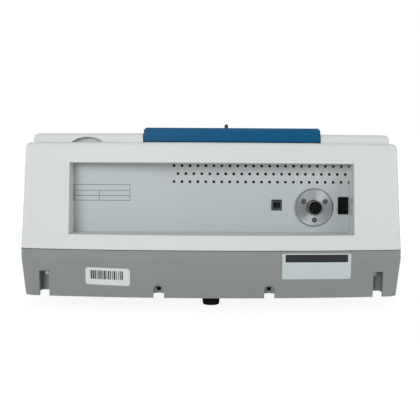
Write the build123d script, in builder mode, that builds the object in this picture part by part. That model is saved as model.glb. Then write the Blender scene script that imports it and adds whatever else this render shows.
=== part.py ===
from build123d import *
import os
from math import cos, radians, sin, sqrt, tan

# Benchtop infrared spectrometer: a grey base tray, a white cover, a blue lid over the sample
# compartment and a recessed connector panel at the back. Millimetres, Z up. X runs to the right as
# seen from the front, the rear faces +Y, and the origin is on the table under the middle of the body.

os.makedirs("parts", exist_ok=True)

# Overall body
body_width = 472.0
body_depth = 350.0
skirt_z = 16.9  # lower edge of the base above the table
joint_z = 74.8  # middle of the seam between base and cover
cover_top_z = 205.0
seam_gap = 0.8
rear_bow_radius = 1350.0  # the rear side bows out in plan
corner_radius = 18.0
side_slope = 0.034  # inward lean of the cover, per mm of height
rear_slope = 0.100
front_slope = 0.267
fit_gap = 0.3  # between neighbouring pieces that do not touch
screw_gap = 0.05  # radial, round screw shanks

# Base tray
tray_wall = 3.5
tray_band_z = 62.0  # above this height the base is upright, below it tapers in
tray_taper = 4.5
tray_floor_z = 21.9  # underside of the floor
tray_floor = 3.1
lip_wall = 2.0
lip_rise = 4.0  # the lip inside the seam, above the seam

# Cover
cover_wall = 3.0
cover_edge_radius = 6.0

# Rear window and connector panel
window_half_width = 174.0
window_above_joint = 18.0
window_below_top = 24.4
window_draft = 1.2  # degrees
window_wall = 3.0
panel_recess = 46.0  # panel face, in front of the rearmost plane
panel_sheet = 1.5
panel_flange = 11.0
panel_flange_thick = 5.0
film_thick = 0.4
film_side_gap = 1.4

# Perforated field of the panel
vent_pitch = 10.0
vent_hole_radius = 1.5
vent_columns = 23
vent_first_x = 47.4  # first hole, counted from the middle towards -X
vent_first_drop = 3.6  # first row, below the window's upper edge
vent_cut_x = 57.4
vent_cut_drop = 27.7
vent_cut_radius = 6.0

# Connectors on the panel, heights above the window's lower edge
usb_x = -81.8
usb_rise = 35.4
usb_cut_width = 12.9
usb_cut_height = 13.6
usb_shell_width = 12.0
usb_shell_height = 11.4
usb_mouth_width = 9.0
usb_mouth_height = 8.6
usb_shell_wall = 0.8
power_x = -128.7
power_rise = 32.6
power_flange_radius = 24.0
power_flange_thick = 3.0
power_screw_circle = 15.4
power_thread_radius = 9.5
power_bore_radius = 7.75
power_ring_length = 9.0
thread_relief = 0.4  # between the flange and the start of the thread
switch_x = -165.2
switch_rise = 35.1
switch_width = 13.0
switch_height = 21.8
switch_bezel = 2.0
rocker_width = 8.6
rocker_height = 15.4
rocker_tilt = 9.0  # degrees to either side of the middle

# Raised deck covers and sample lid
deck_rise = 11.3
deck_inset = 8.0
deck_rear_inset = 8.0
deck_wall = 2.5
deck_corner_radius = 16.0
deck_edge_radius = 7.0
deck_lid_gap = 1.0
scoop_offset = 68.6  # finger scoop, from the inner end of the deck that has it
scoop_width = 41.0
scoop_rise = 6.7
scoop_depth = 12.0
lid_center_x = -24.4
lid_width = 215.6
lid_rear_y = 150.5
lid_gap = 1.2  # under the closed lid
lid_rise = 18.1
lid_front_proud = 7.2
lid_bottom_z = 104.0  # lower edge of the lid at the front
lid_wall = 2.5
lid_chamfer = 2.9
lid_front_radius = 26.0
knob_y = -90.0
knob_rise = 20.5
knob_tip_radius = 2.9
knob_foot_radius = 8.0
hinge_back = 5.2  # pin axis in front of the lid's rear face
hinge_above_edge = 5.4
hinge_pin_radius = 1.25
hinge_eye_radius = 2.4
hinge_inset = 8.0
hinge_ear = 2.5
hinge_running_gap = 0.06
relief_depth = 1.2

# Feet
foot_top_radius = 12.8
foot_bottom_radius = 10.4
rear_foot_y = 115.0
front_foot_x = 178.0
front_foot_y = -118.0
foot_screw_radius = 2.0

# Screw pockets and cable arches in the rear skirt
pocket_x = 204.5
pocket_width = 12.3
pocket_top_z = 48.0
pocket_depth = 35.0  # back wall, in front of the rearmost plane
pocket_screw_z = 43.4
pocket_wall = 2.5
arch_spacing = 134.0
arch_center_x = -3.2
arch_width = 12.7
arch_top_z = 32.4
arch_depth = 12.0
arch_slot_width = 4.9
arch_slot_top_z = 29.5

# Optical bench and beam
bench_z = 70.0
bench_thick = 8.0
bench_margin = 12.0
bench_rib = 6.0
mount_radius = 9.0
mount_height = 8.0
mount_x = 120.0
mount_y = 88.0
beam_rise = 72.0  # beam axis above the top of the bench
beam_y = -50.0
chamber_gap = 12.0

# Sample compartment
tub_wall = 2.5
tub_rise = 14.0  # underside of the tub above the bench
tub_rear_y = 30.0
tub_inset = 5.0  # inside the lid's ends
tub_sill_z = 112.0
port_radius = 18.0
window_ring_radius = 25.0
window_ring_thick = 6.0
window_ring_edge = 1.0
window_disc_radius = 21.0
window_disc_thick = 4.0

# Sample mount and card
card_height = 76.0
card_width = 51.0
card_thick = 2.0
card_seat_z = 102.0
groove_height = 30.0
groove_depth = 3.0
groove_gap = 0.3
mount_post = 9.0

# Interferometer
bs_opening = 19.0
bs_frame = 54.0
bs_thick = 12.0
mirror_radius = 17.0
mirror_thick = 5.0
fixed_mirror_offset = 38.0
moving_mirror_offset = 40.0
drive_travel = 4.0
coil_radius = 11.0
source_offset = 92.0
laser_radius = 6.0

# Worked out from the sizes above
half_width = body_width / 2
rear_y = body_depth / 2
front_y = -body_depth / 2
tray_top_z = joint_z - seam_gap / 2
cover_low_z = joint_z + seam_gap / 2
lid_left = lid_center_x - lid_width / 2
lid_right = lid_center_x + lid_width / 2
window_low_z = joint_z + window_above_joint
window_top_z = cover_top_z - window_below_top
panel_y = rear_y - panel_recess
film_y = panel_y + film_thick
usb_z = window_low_z + usb_rise
power_z = window_low_z + power_rise
switch_z = window_low_z + switch_rise
bench_top_z = bench_z + bench_thick
beam_z = bench_top_z + beam_rise
tub_left = lid_left + tub_inset
tub_right = lid_right - tub_inset
tub_floor_z = bench_top_z + tub_rise
tub_middle_x = (tub_left + tub_right) / 2
lid_low_z = cover_top_z + lid_gap
lid_top_z = cover_top_z + lid_rise
hinge_y = lid_rear_y - hinge_back
hinge_z = lid_low_z + hinge_above_edge


# Inward sag of the bowed rear side at a distance x from the middle
def sag(x):
    return rear_bow_radius - sqrt(rear_bow_radius**2 - x**2)


# Outer faces of the cover at a height
def cover_half(z):
    return half_width - (z - joint_z) * side_slope


def cover_rear(z):
    return rear_y - (z - joint_z) * rear_slope


def cover_front(z):
    return front_y + (z - joint_z) * front_slope


# Share of the base's taper that is left at a height
def taper_at(z):
    return tray_taper * max(0.0, tray_band_z - z) / (tray_band_z - skirt_z)


# Body outline in plan: straight sides and front, bowed rear
def plan_outline(half, rear, front, corner):
    side = rear - sag(half)
    with BuildSketch() as outline:
        with BuildLine():
            ThreePointArc((-half, side), (0, rear), (half, side))
            Polyline((half, side), (half, front), (-half, front), (-half, side))
        make_face()
        fillet(outline.vertices(), radius=corner)
    return outline.sketch


# One level of the tapered base, drawn in at the given inset
def tray_outline(z, inset):
    taper = taper_at(z) + inset
    return plan_outline(half_width - taper, rear_y - taper, front_y + taper, corner_radius - inset)


# One level of the leaning cover, drawn in at the given inset
def cover_outline(z, inset):
    return plan_outline(cover_half(z) - inset, cover_rear(z) - inset, cover_front(z) + inset,
                        corner_radius - inset)


# Outer form of the base, filled
with BuildPart() as tray_form:
    with BuildSketch(Plane.XY.offset(skirt_z)):
        add(tray_outline(skirt_z, 0))
    with BuildSketch(Plane.XY.offset(tray_band_z)):
        add(tray_outline(tray_band_z, 0))
    loft(ruled=True)
    with BuildSketch(Plane.XY.offset(tray_band_z)):
        add(tray_outline(tray_band_z, 0))
    extrude(amount=tray_top_z - tray_band_z)

# Outer form of the cover, filled, with its rounded upper edge
with BuildPart() as cover_form:
    with BuildSketch(Plane.XY.offset(cover_low_z)):
        add(cover_outline(cover_low_z, 0))
    with BuildSketch(Plane.XY.offset(cover_top_z)):
        add(cover_outline(cover_top_z, 0))
    loft(ruled=True)
    fillet(cover_form.faces().sort_by(Axis.Z)[-1].edges(), radius=cover_edge_radius)

# Base tray
pocket_back_y = rear_y - pocket_depth
arch_back_y = rear_y - arch_depth
arch_xs = [arch_center_x - arch_spacing / 2, arch_center_x + arch_spacing / 2]
foot_spots = [(0, rear_foot_y), (-front_foot_x, front_foot_y), (front_foot_x, front_foot_y)]
mount_spots = [(-mount_x, -mount_y), (mount_x, -mount_y), (-mount_x, mount_y), (mount_x, mount_y)]
floor_top_z = tray_floor_z + tray_floor
post_top_z = bench_z - mount_height
tongue_thick = 5.0
tongue_half_width = 9.0
tongue_low_z = pocket_screw_z - 7.0
post_radius = 11.0
boss_radius = 6.0
boss_height = 10.0
bench_screw_radius = 2.5
bench_screw_grip = 12.0  # how far the bench screws reach into their posts
bench_pilot_depth = 16.0
floor_rib = 2.5
floor_rib_height = 8.0
floor_rib_front_y = -130.0
floor_rib_rear_y = 100.0
lip_overlap = 6.0
lip_bite = 0.5  # of the lip's root into the wall
lip_inset = cover_wall + fit_gap + (lip_rise + seam_gap) * front_slope
board_post_height = 7.0
board_post_radius = 3.5
board_center_x = -20.0
board_center_y = 10.0
board_length = 190.0
board_width = 120.0
board_thick = 1.6
board_post_inset = 6.0
board_post_spots = [(board_center_x + i * (board_length / 2 - board_post_inset),
                     board_center_y + j * (board_width / 2 - board_post_inset))
                    for i in (-1, 1) for j in (-1, 1)]
cover_screw_radius = 1.5
pocket_spots = [(side * pocket_x, pocket_screw_z) for side in (-1, 1)]

with BuildPart() as pocket_blocks:
    # walls round the two screw pockets and the two cable arches, still running through the outer wall
    with BuildSketch(Plane.XY.offset(tray_floor_z)):
        with Locations(*[(side * pocket_x, pocket_back_y - pocket_wall) for side in (-1, 1)]):
            Rectangle(pocket_width + 2 * pocket_wall, pocket_depth + pocket_wall,
                      align=(Align.CENTER, Align.MIN))
    extrude(amount=pocket_top_z + pocket_wall - tray_floor_z)
    with BuildSketch(Plane.XY.offset(tray_floor_z)):
        with Locations(*[(x, arch_back_y - pocket_wall) for x in arch_xs]):
            Rectangle(arch_width + 2 * pocket_wall, arch_depth + pocket_wall, align=(Align.CENTER, Align.MIN))
    extrude(amount=arch_top_z + pocket_wall - tray_floor_z)
    add(tray_form.part, mode=Mode.INTERSECT)

with BuildPart() as base_tray:
    add(tray_form.part)
    # inside of the tub above the floor
    with BuildSketch(Plane.XY.offset(floor_top_z)):
        add(tray_outline(floor_top_z, tray_wall))
    with BuildSketch(Plane.XY.offset(tray_band_z)):
        add(tray_outline(tray_band_z, tray_wall))
    loft(ruled=True, mode=Mode.SUBTRACT)
    with BuildSketch(Plane.XY.offset(tray_band_z)):
        add(tray_outline(tray_band_z, tray_wall))
    extrude(amount=tray_top_z - tray_band_z, mode=Mode.SUBTRACT)
    # hollow under the floor, inside the skirt
    with BuildSketch(Plane.XY.offset(skirt_z)):
        add(tray_outline(skirt_z, tray_wall))
    extrude(amount=tray_floor_z - skirt_z, mode=Mode.SUBTRACT)
    # lip that stands up inside the seam
    for low_z, outer_inset, height in ((tray_top_z - lip_overlap, tray_wall - lip_bite, lip_overlap),
                                       (tray_top_z, lip_inset, lip_rise)):
        with BuildSketch(Plane.XY.offset(low_z)):
            add(tray_outline(tray_band_z, outer_inset))
            add(tray_outline(tray_band_z, lip_inset + lip_wall), mode=Mode.SUBTRACT)
        extrude(amount=height)
    add(pocket_blocks.part)
    # floor ribs
    with BuildSketch(Plane.XY.offset(floor_top_z)):
        with Locations((0, floor_rib_front_y), (0, floor_rib_rear_y)):
            Rectangle(2 * mount_x, floor_rib)
        with Locations(*[(x, (floor_rib_front_y + floor_rib_rear_y) / 2) for x in (-mount_x, mount_x)]):
            Rectangle(floor_rib, floor_rib_rear_y - floor_rib_front_y)
    extrude(amount=floor_rib_height)
    # posts for the bench, screw bosses of the feet, posts for the main board
    with BuildSketch(Plane.XY.offset(floor_top_z)):
        with Locations(*mount_spots):
            Circle(post_radius)
    extrude(amount=post_top_z - floor_top_z)
    with BuildSketch(Plane.XY.offset(floor_top_z)):
        with Locations(*foot_spots):
            Circle(boss_radius)
    extrude(amount=boss_height)
    with BuildSketch(Plane.XY.offset(floor_top_z)):
        with Locations(*board_post_spots):
            Circle(board_post_radius)
    extrude(amount=board_post_height)
    # pilot holes
    with Locations(*[(x, y, post_top_z) for x, y in mount_spots]):
        Hole(bench_screw_radius + screw_gap, depth=bench_pilot_depth)
    with BuildSketch(Plane.XY.offset(tray_floor_z)):
        with Locations(*foot_spots):
            Circle(foot_screw_radius + screw_gap)
    extrude(amount=boss_height, mode=Mode.SUBTRACT)
    # screw pockets, open to the rear and below
    with BuildSketch(Plane.XY.offset(skirt_z)):
        with Locations(*[(side * pocket_x, pocket_back_y) for side in (-1, 1)]):
            Rectangle(pocket_width, pocket_depth, align=(Align.CENTER, Align.MIN))
    extrude(amount=pocket_top_z - skirt_z, mode=Mode.SUBTRACT)
    with BuildSketch(Plane.XZ.offset(-pocket_back_y)):
        with Locations(*pocket_spots):
            Circle(cover_screw_radius + screw_gap)
    extrude(amount=2 * pocket_wall, both=True, mode=Mode.SUBTRACT)
    # cable arches with a narrow slot in their inner wall
    with BuildSketch(Plane.XZ.offset(-arch_back_y)):
        with Locations(*[(x, skirt_z) for x in arch_xs]):
            Rectangle(arch_width, arch_top_z - arch_width / 2 - skirt_z,
                      align=(Align.CENTER, Align.MIN))
        with Locations(*[(x, arch_top_z - arch_width / 2) for x in arch_xs]):
            Circle(arch_width / 2)
    extrude(amount=-arch_depth, mode=Mode.SUBTRACT)
    with BuildSketch(Plane.XZ.offset(-arch_back_y)):
        with Locations(*[(x, skirt_z) for x in arch_xs]):
            Rectangle(arch_slot_width, arch_slot_top_z - skirt_z, align=(Align.CENTER, Align.MIN))
    extrude(amount=pocket_wall, mode=Mode.SUBTRACT)
    # room in the lip for the cover's screw tongues
    with BuildSketch(Plane.XY.offset(tray_top_z)):
        with Locations(*[(side * pocket_x, pocket_back_y) for side in (-1, 1)]):
            Rectangle(2 * tongue_half_width + 2, 2 * pocket_depth)
    extrude(amount=lip_rise + 1, mode=Mode.SUBTRACT)
base_tray.part.label = "base_tray"
export_step(base_tray.part, "parts/base_tray.step")

# Rubber feet: one under the rear and two under the front corners, each with a bore for its screw
foot_bore_radius = 4.5
foot_bore_depth = 9.0
foot_edge = 1.0
with BuildPart() as foot_form:
    with BuildSketch(Plane.XZ):
        with BuildLine():
            Polyline((0, 0), (foot_bottom_radius - foot_edge, 0), (foot_bottom_radius, foot_edge),
                     (foot_top_radius, tray_floor_z), (0, tray_floor_z), close=True)
        make_face()
    revolve(axis=Axis.Z)
    Cylinder(foot_bore_radius, foot_bore_depth, align=(Align.CENTER, Align.CENTER, Align.MIN),
             mode=Mode.SUBTRACT)
    Cylinder(foot_screw_radius + screw_gap, tray_floor_z, align=(Align.CENTER, Align.CENTER, Align.MIN),
             mode=Mode.SUBTRACT)
with BuildPart() as feet:
    with Locations(*foot_spots):
        add(foot_form.part)
feet.part.label = "feet"
export_step(feet.part, "parts/feet.step")

# Screws that hold the feet, head up in the foot's bore
foot_head_height = 3.0
foot_head_radius = foot_bore_radius - 0.6
foot_socket_radius = 1.6
foot_shank = tray_floor_z + boss_height - foot_bore_depth - 1.0  # stops 1 mm under the boss's top
with BuildPart() as foot_screw_form:
    with Locations((0, 0, foot_bore_depth)):
        Cylinder(foot_screw_radius, foot_shank, align=(Align.CENTER, Align.CENTER, Align.MIN))
        Cylinder(foot_head_radius, foot_head_height, align=(Align.CENTER, Align.CENTER, Align.MAX))
    with BuildSketch(Plane.XY.offset(foot_bore_depth - foot_head_height)):
        RegularPolygon(radius=foot_socket_radius, side_count=6)
    extrude(amount=foot_head_height / 2, mode=Mode.SUBTRACT)
with BuildPart() as foot_screws:
    with Locations(*foot_spots):
        add(foot_screw_form.part)
foot_screws.part.label = "foot_screws"
export_step(foot_screws.part, "parts/foot_screws.step")

# Raised deck covers beside the lid
deck_left_x = lid_left - deck_lid_gap
deck_right_x = lid_right + deck_lid_gap
deck_outer = cover_half(cover_top_z) - deck_inset
deck_peg_radius = 2.5
deck_peg_inset = 11.0
scoop_x = deck_right_x + scoop_offset


# Outline of a deck between its inner end at the lid and its outer end, drawn in by the inset
def deck_outline(inner_x, outer_x, inset):
    side = 1 if outer_x > inner_x else -1
    a = inner_x + side * inset
    b = outer_x - side * inset
    rear = cover_rear(cover_top_z) - deck_rear_inset - inset
    front = cover_front(cover_top_z) + deck_inset + inset
    middle = (a + b) / 2
    with BuildSketch() as outline:
        with BuildLine():
            ThreePointArc((a, rear - sag(a)), (middle, rear - sag(middle)), (b, rear - sag(b)))
            Polyline((b, rear - sag(b)), (b, front), (a, front), (a, rear - sag(a)))
        make_face()
        corners = outline.vertices().sort_by(Axis.X)
        fillet(corners[-2:] if side > 0 else corners[:2], radius=deck_corner_radius - inset)
    return outline.sketch


# One deck cover: a rounded shell with pegs at its corners
def deck_cover(inner_x, outer_x):
    side = 1 if outer_x > inner_x else -1
    peg_xs = [inner_x + side * deck_peg_inset, outer_x - side * (deck_peg_inset + 6)]
    peg_ys = [cover_front(cover_top_z) + deck_inset + deck_peg_inset + 4,
              cover_rear(cover_top_z) - deck_rear_inset - sag(outer_x) - deck_peg_inset - 4]
    with BuildPart() as deck:
        with BuildSketch(Plane.XY.offset(cover_top_z)):
            add(deck_outline(inner_x, outer_x, 0))
        extrude(amount=deck_rise)
        rim = deck.faces().sort_by(Axis.Z)[-1].edges()
        inner_edge = rim.sort_by(Axis.X)[0] if side > 0 else rim.sort_by(Axis.X)[-1]
        fillet([edge for edge in rim if edge != inner_edge], radius=deck_edge_radius)
        # hollow in two steps, so that the wall stays even under the rounded edge
        for inset, height in ((deck_wall, deck_rise - deck_edge_radius),
                              (2 * deck_wall, deck_rise - deck_wall)):
            with BuildSketch(Plane.XY.offset(cover_top_z)):
                add(deck_outline(inner_x, outer_x, inset))
            extrude(amount=height, mode=Mode.SUBTRACT)
        with BuildSketch(Plane.XY.offset(cover_top_z - cover_wall - 1)):
            for x in peg_xs:
                with Locations(*[(x, y) for y in peg_ys]):
                    Circle(deck_peg_radius)
        extrude(amount=deck_rise + cover_wall)
    return deck.part, [(x, y) for x in peg_xs for y in peg_ys]


detector_deck_shell, detector_deck_pegs = deck_cover(deck_left_x, -deck_outer)
interferometer_deck_shell, interferometer_deck_pegs = deck_cover(deck_right_x, deck_outer)
with BuildPart() as detector_deck:
    add(detector_deck_shell)
detector_deck.part.label = "detector_deck"
export_step(detector_deck.part, "parts/detector_deck.step")

# The deck over the interferometer has a finger scoop in its rear edge, to lift it off by
scoop_face_y = cover_rear(cover_top_z) - deck_rear_inset - sag(scoop_x)
with BuildPart() as interferometer_deck:
    add(interferometer_deck_shell)
    with BuildSketch(Plane.XY.offset(cover_top_z)):
        with Locations((scoop_x, scoop_face_y - scoop_depth - deck_wall)):
            Rectangle(scoop_width + 2 * deck_wall, scoop_depth + deck_wall, align=(Align.CENTER, Align.MIN))
        add(deck_outline(deck_right_x, deck_outer, deck_wall / 2), mode=Mode.INTERSECT)
    extrude(amount=scoop_rise + deck_wall)
    with BuildSketch(Plane.XZ.offset(-(scoop_face_y - scoop_depth))):
        with BuildLine():
            ThreePointArc((scoop_x - scoop_width / 2, cover_top_z), (scoop_x, cover_top_z + scoop_rise),
                          (scoop_x + scoop_width / 2, cover_top_z))
            Line((scoop_x + scoop_width / 2, cover_top_z), (scoop_x - scoop_width / 2, cover_top_z))
        make_face()
    extrude(amount=-scoop_depth - 3, mode=Mode.SUBTRACT)
interferometer_deck.part.label = "interferometer_deck"
export_step(interferometer_deck.part, "parts/interferometer_deck.step")

# Cover: walls, return walls of the rear window, openings for the sample compartment and the decks
flange_half = window_half_width + panel_flange
flange_low_z = window_low_z - panel_flange
flange_top_z = window_top_z + panel_flange
window_draft_at_panel = panel_recess * tan(radians(window_draft))
deck_hole_margin = 24.0
deck_hole_rear_y = 112.0
deck_hole_front_y = -104.0
deck_hole_radius = 12.0
bridge_thick = 3.5
bridge_end_y = cover_rear(cover_low_z) - sag(pocket_x + tongue_half_width) - cover_wall / 2
bridge_length = bridge_end_y - (pocket_back_y - pocket_wall - fit_gap - tongue_thick)


# A straight block in the window's shape, from the panel's face out past the rear of the cover
def window_block(half, low, top):
    with BuildPart() as block:
        with BuildSketch(Plane.XZ.offset(-panel_y)):
            with Locations((0, (low + top) / 2)):
                Rectangle(2 * half, top - low)
        extrude(amount=-panel_recess - 5)
    return block.part


with BuildPart() as window_walls:
    # return walls and the flange that the panel is screwed to, trimmed to the outside of the cover
    add(window_block(window_half_width + window_wall, window_low_z - window_wall, window_top_z + window_wall))
    with BuildSketch(Plane.XZ.offset(-panel_y)):
        with Locations((0, (flange_low_z + flange_top_z) / 2)):
            Rectangle(2 * flange_half, flange_top_z - flange_low_z)
    extrude(amount=-panel_flange_thick)
    add(cover_form.part, mode=Mode.INTERSECT)

deck_hole_left = (-deck_outer + deck_hole_margin, deck_left_x - deck_hole_margin / 2)
deck_hole_right = (deck_right_x + deck_hole_margin / 2, deck_outer - deck_hole_margin)
hinge_ear_xs = [lid_left + lid_wall + hinge_inset, lid_right - lid_wall - hinge_inset]
bracket_half_width = 7.0
bracket_front_y = hinge_y - 24.0
bracket_rear_y = hinge_y - 5.5
bracket_thick = 1.5
bracket_top_z = cover_top_z + bracket_thick
eye_slant = hinge_eye_radius * sin(radians(45))
bracket_screw_spots = [(x + i * 4.2, bracket_front_y + 8.0) for x in hinge_ear_xs for i in (-1, 1)]
bracket_screw_radius = 1.25
panel_screw_x = window_half_width + panel_flange / 2 + window_wall / 2
panel_screw_inset = 8.0
panel_screw_radius = 1.5
panel_screw_zs = (flange_low_z + panel_screw_inset, power_z, flange_top_z - panel_screw_inset)
panel_screw_spots = [(side * panel_screw_x, z) for side in (-1, 1) for z in panel_screw_zs]

with BuildPart() as top_cover:
    add(cover_form.part)
    with BuildSketch(Plane.XY.offset(cover_low_z - 1)):
        add(cover_outline(cover_low_z - 1, cover_wall))
    with BuildSketch(Plane.XY.offset(cover_top_z - cover_wall)):
        add(cover_outline(cover_top_z - cover_wall, cover_wall))
    loft(ruled=True, mode=Mode.SUBTRACT)
    add(window_walls.part)
    # the window itself, a little wider at the outside than at the panel
    with BuildSketch(Plane.XZ.offset(-panel_y)):
        with Locations((0, (window_low_z + window_top_z) / 2)):
            Rectangle(2 * window_half_width - 2 * window_draft_at_panel,
                      window_top_z - window_low_z - 2 * window_draft_at_panel)
    extrude(amount=-panel_recess - 5, taper=-window_draft, mode=Mode.SUBTRACT)
    # sample compartment, open at the top and down the front
    with BuildSketch(Plane.YZ.offset(tub_left + tub_wall)):
        with BuildLine():
            Polyline((tub_rear_y - tub_wall, cover_top_z - cover_wall - 1),
                     (tub_rear_y - tub_wall, cover_top_z + 1),
                     (front_y, cover_top_z + 1), (front_y, tub_sill_z),
                     (cover_front(tub_sill_z) + 2 * cover_wall, tub_sill_z),
                     (cover_front(cover_top_z) + 2 * cover_wall, cover_top_z - cover_wall - 1), close=True)
        make_face()
    extrude(amount=tub_right - tub_left - 2 * tub_wall, mode=Mode.SUBTRACT)
    # service openings under the two decks
    with BuildSketch(Plane.XY.offset(cover_top_z - cover_wall)):
        for low_x, high_x in (deck_hole_left, deck_hole_right):
            with Locations(((low_x + high_x) / 2, (deck_hole_rear_y + deck_hole_front_y) / 2)):
                RectangleRounded(high_x - low_x, deck_hole_rear_y - deck_hole_front_y,
                                 deck_hole_radius)
    extrude(amount=cover_wall, mode=Mode.SUBTRACT)
    # holes for the pegs of the decks
    with BuildSketch(Plane.XY.offset(cover_top_z - cover_wall)):
        with Locations(*(detector_deck_pegs + interferometer_deck_pegs)):
            Circle(deck_peg_radius + fit_gap)
    extrude(amount=cover_wall, mode=Mode.SUBTRACT)
    # shallow relief under the lid's rear edge, where the edge dips as the lid opens
    with Locations((lid_center_x, lid_rear_y + 1.0, cover_top_z)):
        Box(lid_width + deck_lid_gap, hinge_back + 8.0, relief_depth,
            align=(Align.CENTER, Align.MAX, Align.MAX), mode=Mode.SUBTRACT)
    # tongues that reach down behind the screw pockets of the base
    for side in (-1, 1):
        with Locations((side * pocket_x, pocket_back_y - pocket_wall - fit_gap, tongue_low_z)):
            Box(2 * tongue_half_width, tongue_thick, cover_low_z + bridge_thick - tongue_low_z,
                align=(Align.CENTER, Align.MAX, Align.MIN))
        with Locations((side * pocket_x, pocket_back_y - pocket_wall - fit_gap - tongue_thick,
                        cover_low_z)):
            Box(2 * tongue_half_width, bridge_length, bridge_thick,
                align=(Align.CENTER, Align.MIN, Align.MIN))
    with BuildSketch(Plane.XZ.offset(-(pocket_back_y - pocket_wall))):
        with Locations(*pocket_spots):
            Circle(cover_screw_radius + screw_gap)
    extrude(amount=tongue_thick + 2 * fit_gap, mode=Mode.SUBTRACT)
    # pilot holes of the hinge brackets and of the panel
    with Locations(*[(x, y, cover_top_z) for x, y in bracket_screw_spots]):
        Hole(bracket_screw_radius + screw_gap, depth=2 * cover_wall)
    with BuildSketch(Plane.XZ.offset(-panel_y)):
        with Locations(*panel_screw_spots):
            Circle(panel_screw_radius + screw_gap)
    extrude(amount=-panel_flange_thick + 1, mode=Mode.SUBTRACT)
top_cover.part.label = "top_cover"
export_step(top_cover.part, "parts/top_cover.step")

# Rear panel: a metal sheet behind the window, perforated along its upper edge
vent_top_z = window_top_z - vent_first_drop
vent_rows = []
for row, (start, count) in enumerate(((0, vent_columns), (vent_pitch / 2, vent_columns - 1),
                                      (0, vent_columns))):
    for column in range(count):
        vent_rows.append((-(start + column * vent_pitch - vent_first_x), vent_top_z - row * vent_pitch))
power_hole_radius = power_thread_radius - 1.0
panel_corner_radius = 3.0
switch_cut_width = switch_width - 2.0
switch_cut_height = switch_height - 2.4


# The cut-outs for the connectors and the switch, drawn on an upright plane
def connector_cuts(hole_radius, gap):
    with BuildSketch() as cuts:
        with Locations((usb_x, usb_z)):
            Rectangle(usb_cut_width + 2 * gap, usb_cut_height + 2 * gap)
        with Locations((power_x, power_z)):
            Circle(hole_radius)
        with Locations((switch_x, switch_z)):
            Rectangle(switch_cut_width + 2 * gap, switch_cut_height + 2 * gap)
    return cuts.sketch


with BuildPart() as rear_panel:
    with BuildSketch(Plane.XZ.offset(-(panel_y - panel_sheet))):
        with Locations((0, (flange_low_z + flange_top_z) / 2)):
            RectangleRounded(2 * flange_half, flange_top_z - flange_low_z, panel_corner_radius)
        with Locations(*vent_rows):
            Circle(vent_hole_radius, mode=Mode.SUBTRACT)
        with Locations(*panel_screw_spots):
            Circle(panel_screw_radius + screw_gap, mode=Mode.SUBTRACT)
        add(connector_cuts(power_hole_radius, 0), mode=Mode.SUBTRACT)
    extrude(amount=-panel_sheet)
rear_panel.part.label = "rear_panel"
export_step(rear_panel.part, "parts/rear_panel.step")

# Screws of the panel, driven from inside the instrument
panel_screw_shank = panel_sheet + panel_flange_thick - 1.5
panel_head_radius = 2.8
panel_head_height = 2.0
with BuildPart() as panel_screws:
    with BuildSketch(Plane.XZ.offset(-(panel_y - panel_sheet))):
        with Locations(*panel_screw_spots):
            Circle(panel_screw_radius)
    extrude(amount=-panel_screw_shank)
    with BuildSketch(Plane.XZ.offset(-(panel_y - panel_sheet))):
        with Locations(*panel_screw_spots):
            Circle(panel_head_radius)
    extrude(amount=panel_head_height)
panel_screws.part.label = "panel_screws"
export_step(panel_screws.part, "parts/panel_screws.step")

# Printed film on the panel, cut away round the perforated field
film_half = window_half_width - film_side_gap
film_low_z = window_low_z + film_side_gap
film_top_z = window_top_z - 4.0
past_edge = 20.0  # how far a cutting shape runs past what it cuts
with BuildPart() as rear_film:
    with BuildSketch(Plane.XZ.offset(-panel_y)):
        with Locations((0, (film_low_z + film_top_z) / 2)):
            Rectangle(2 * film_half, film_top_z - film_low_z)
        with BuildSketch(mode=Mode.PRIVATE) as vent_field:
            with Locations((vent_cut_x, film_top_z + past_edge)):
                Rectangle(vent_cut_x + film_half + past_edge,
                          film_top_z + past_edge - (window_top_z - vent_cut_drop),
                          align=(Align.MAX, Align.MAX))
            fillet(vent_field.vertices().sort_by(Axis.Y)[:2].sort_by(Axis.X)[-1], radius=vent_cut_radius)
        add(vent_field.sketch, mode=Mode.SUBTRACT)
        add(connector_cuts(power_hole_radius + 1, 0.2), mode=Mode.SUBTRACT)
    extrude(amount=-film_thick)
rear_film.part.label = "rear_film"
export_step(rear_film.part, "parts/rear_film.step")

# Data socket: a metal shell whose mouth has two cut corners, and the tongue inside it
usb_depth = 16.0
usb_corner_cut = 1.8
usb_front_y = panel_y + 2.0
usb_shell_corner = 1.0
usb_tongue_width = 5.6
usb_tongue_height = 3.0
usb_tongue_back = 1.5  # the tongue ends this far inside the mouth
with BuildPart() as usb_shell:
    with BuildSketch(Plane.XZ.offset(-(usb_front_y - usb_depth))):
        with Locations((usb_x, usb_z)):
            RectangleRounded(usb_shell_width, usb_shell_height, usb_shell_corner)
    extrude(amount=-usb_depth)
    with BuildSketch(Plane.XZ.offset(-(usb_front_y - usb_depth + usb_shell_wall))) as usb_mouth:
        with Locations((usb_x, usb_z)):
            Rectangle(usb_mouth_width, usb_mouth_height)
        chamfer(usb_mouth.vertices().sort_by(Axis.Y)[:2], length=usb_corner_cut)
    extrude(amount=-usb_depth, mode=Mode.SUBTRACT)
usb_shell.part.label = "usb_shell"
export_step(usb_shell.part, "parts/usb_shell.step")

with BuildPart() as usb_tongue:
    with BuildSketch(Plane.XZ.offset(-(usb_front_y - usb_depth + usb_shell_wall))):
        with Locations((usb_x, usb_z + 0.2)):
            Rectangle(usb_tongue_width, usb_tongue_height)
    extrude(amount=-(usb_depth - usb_shell_wall - usb_tongue_back))
usb_tongue.part.label = "usb_tongue"
export_step(usb_tongue.part, "parts/usb_tongue.step")

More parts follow.
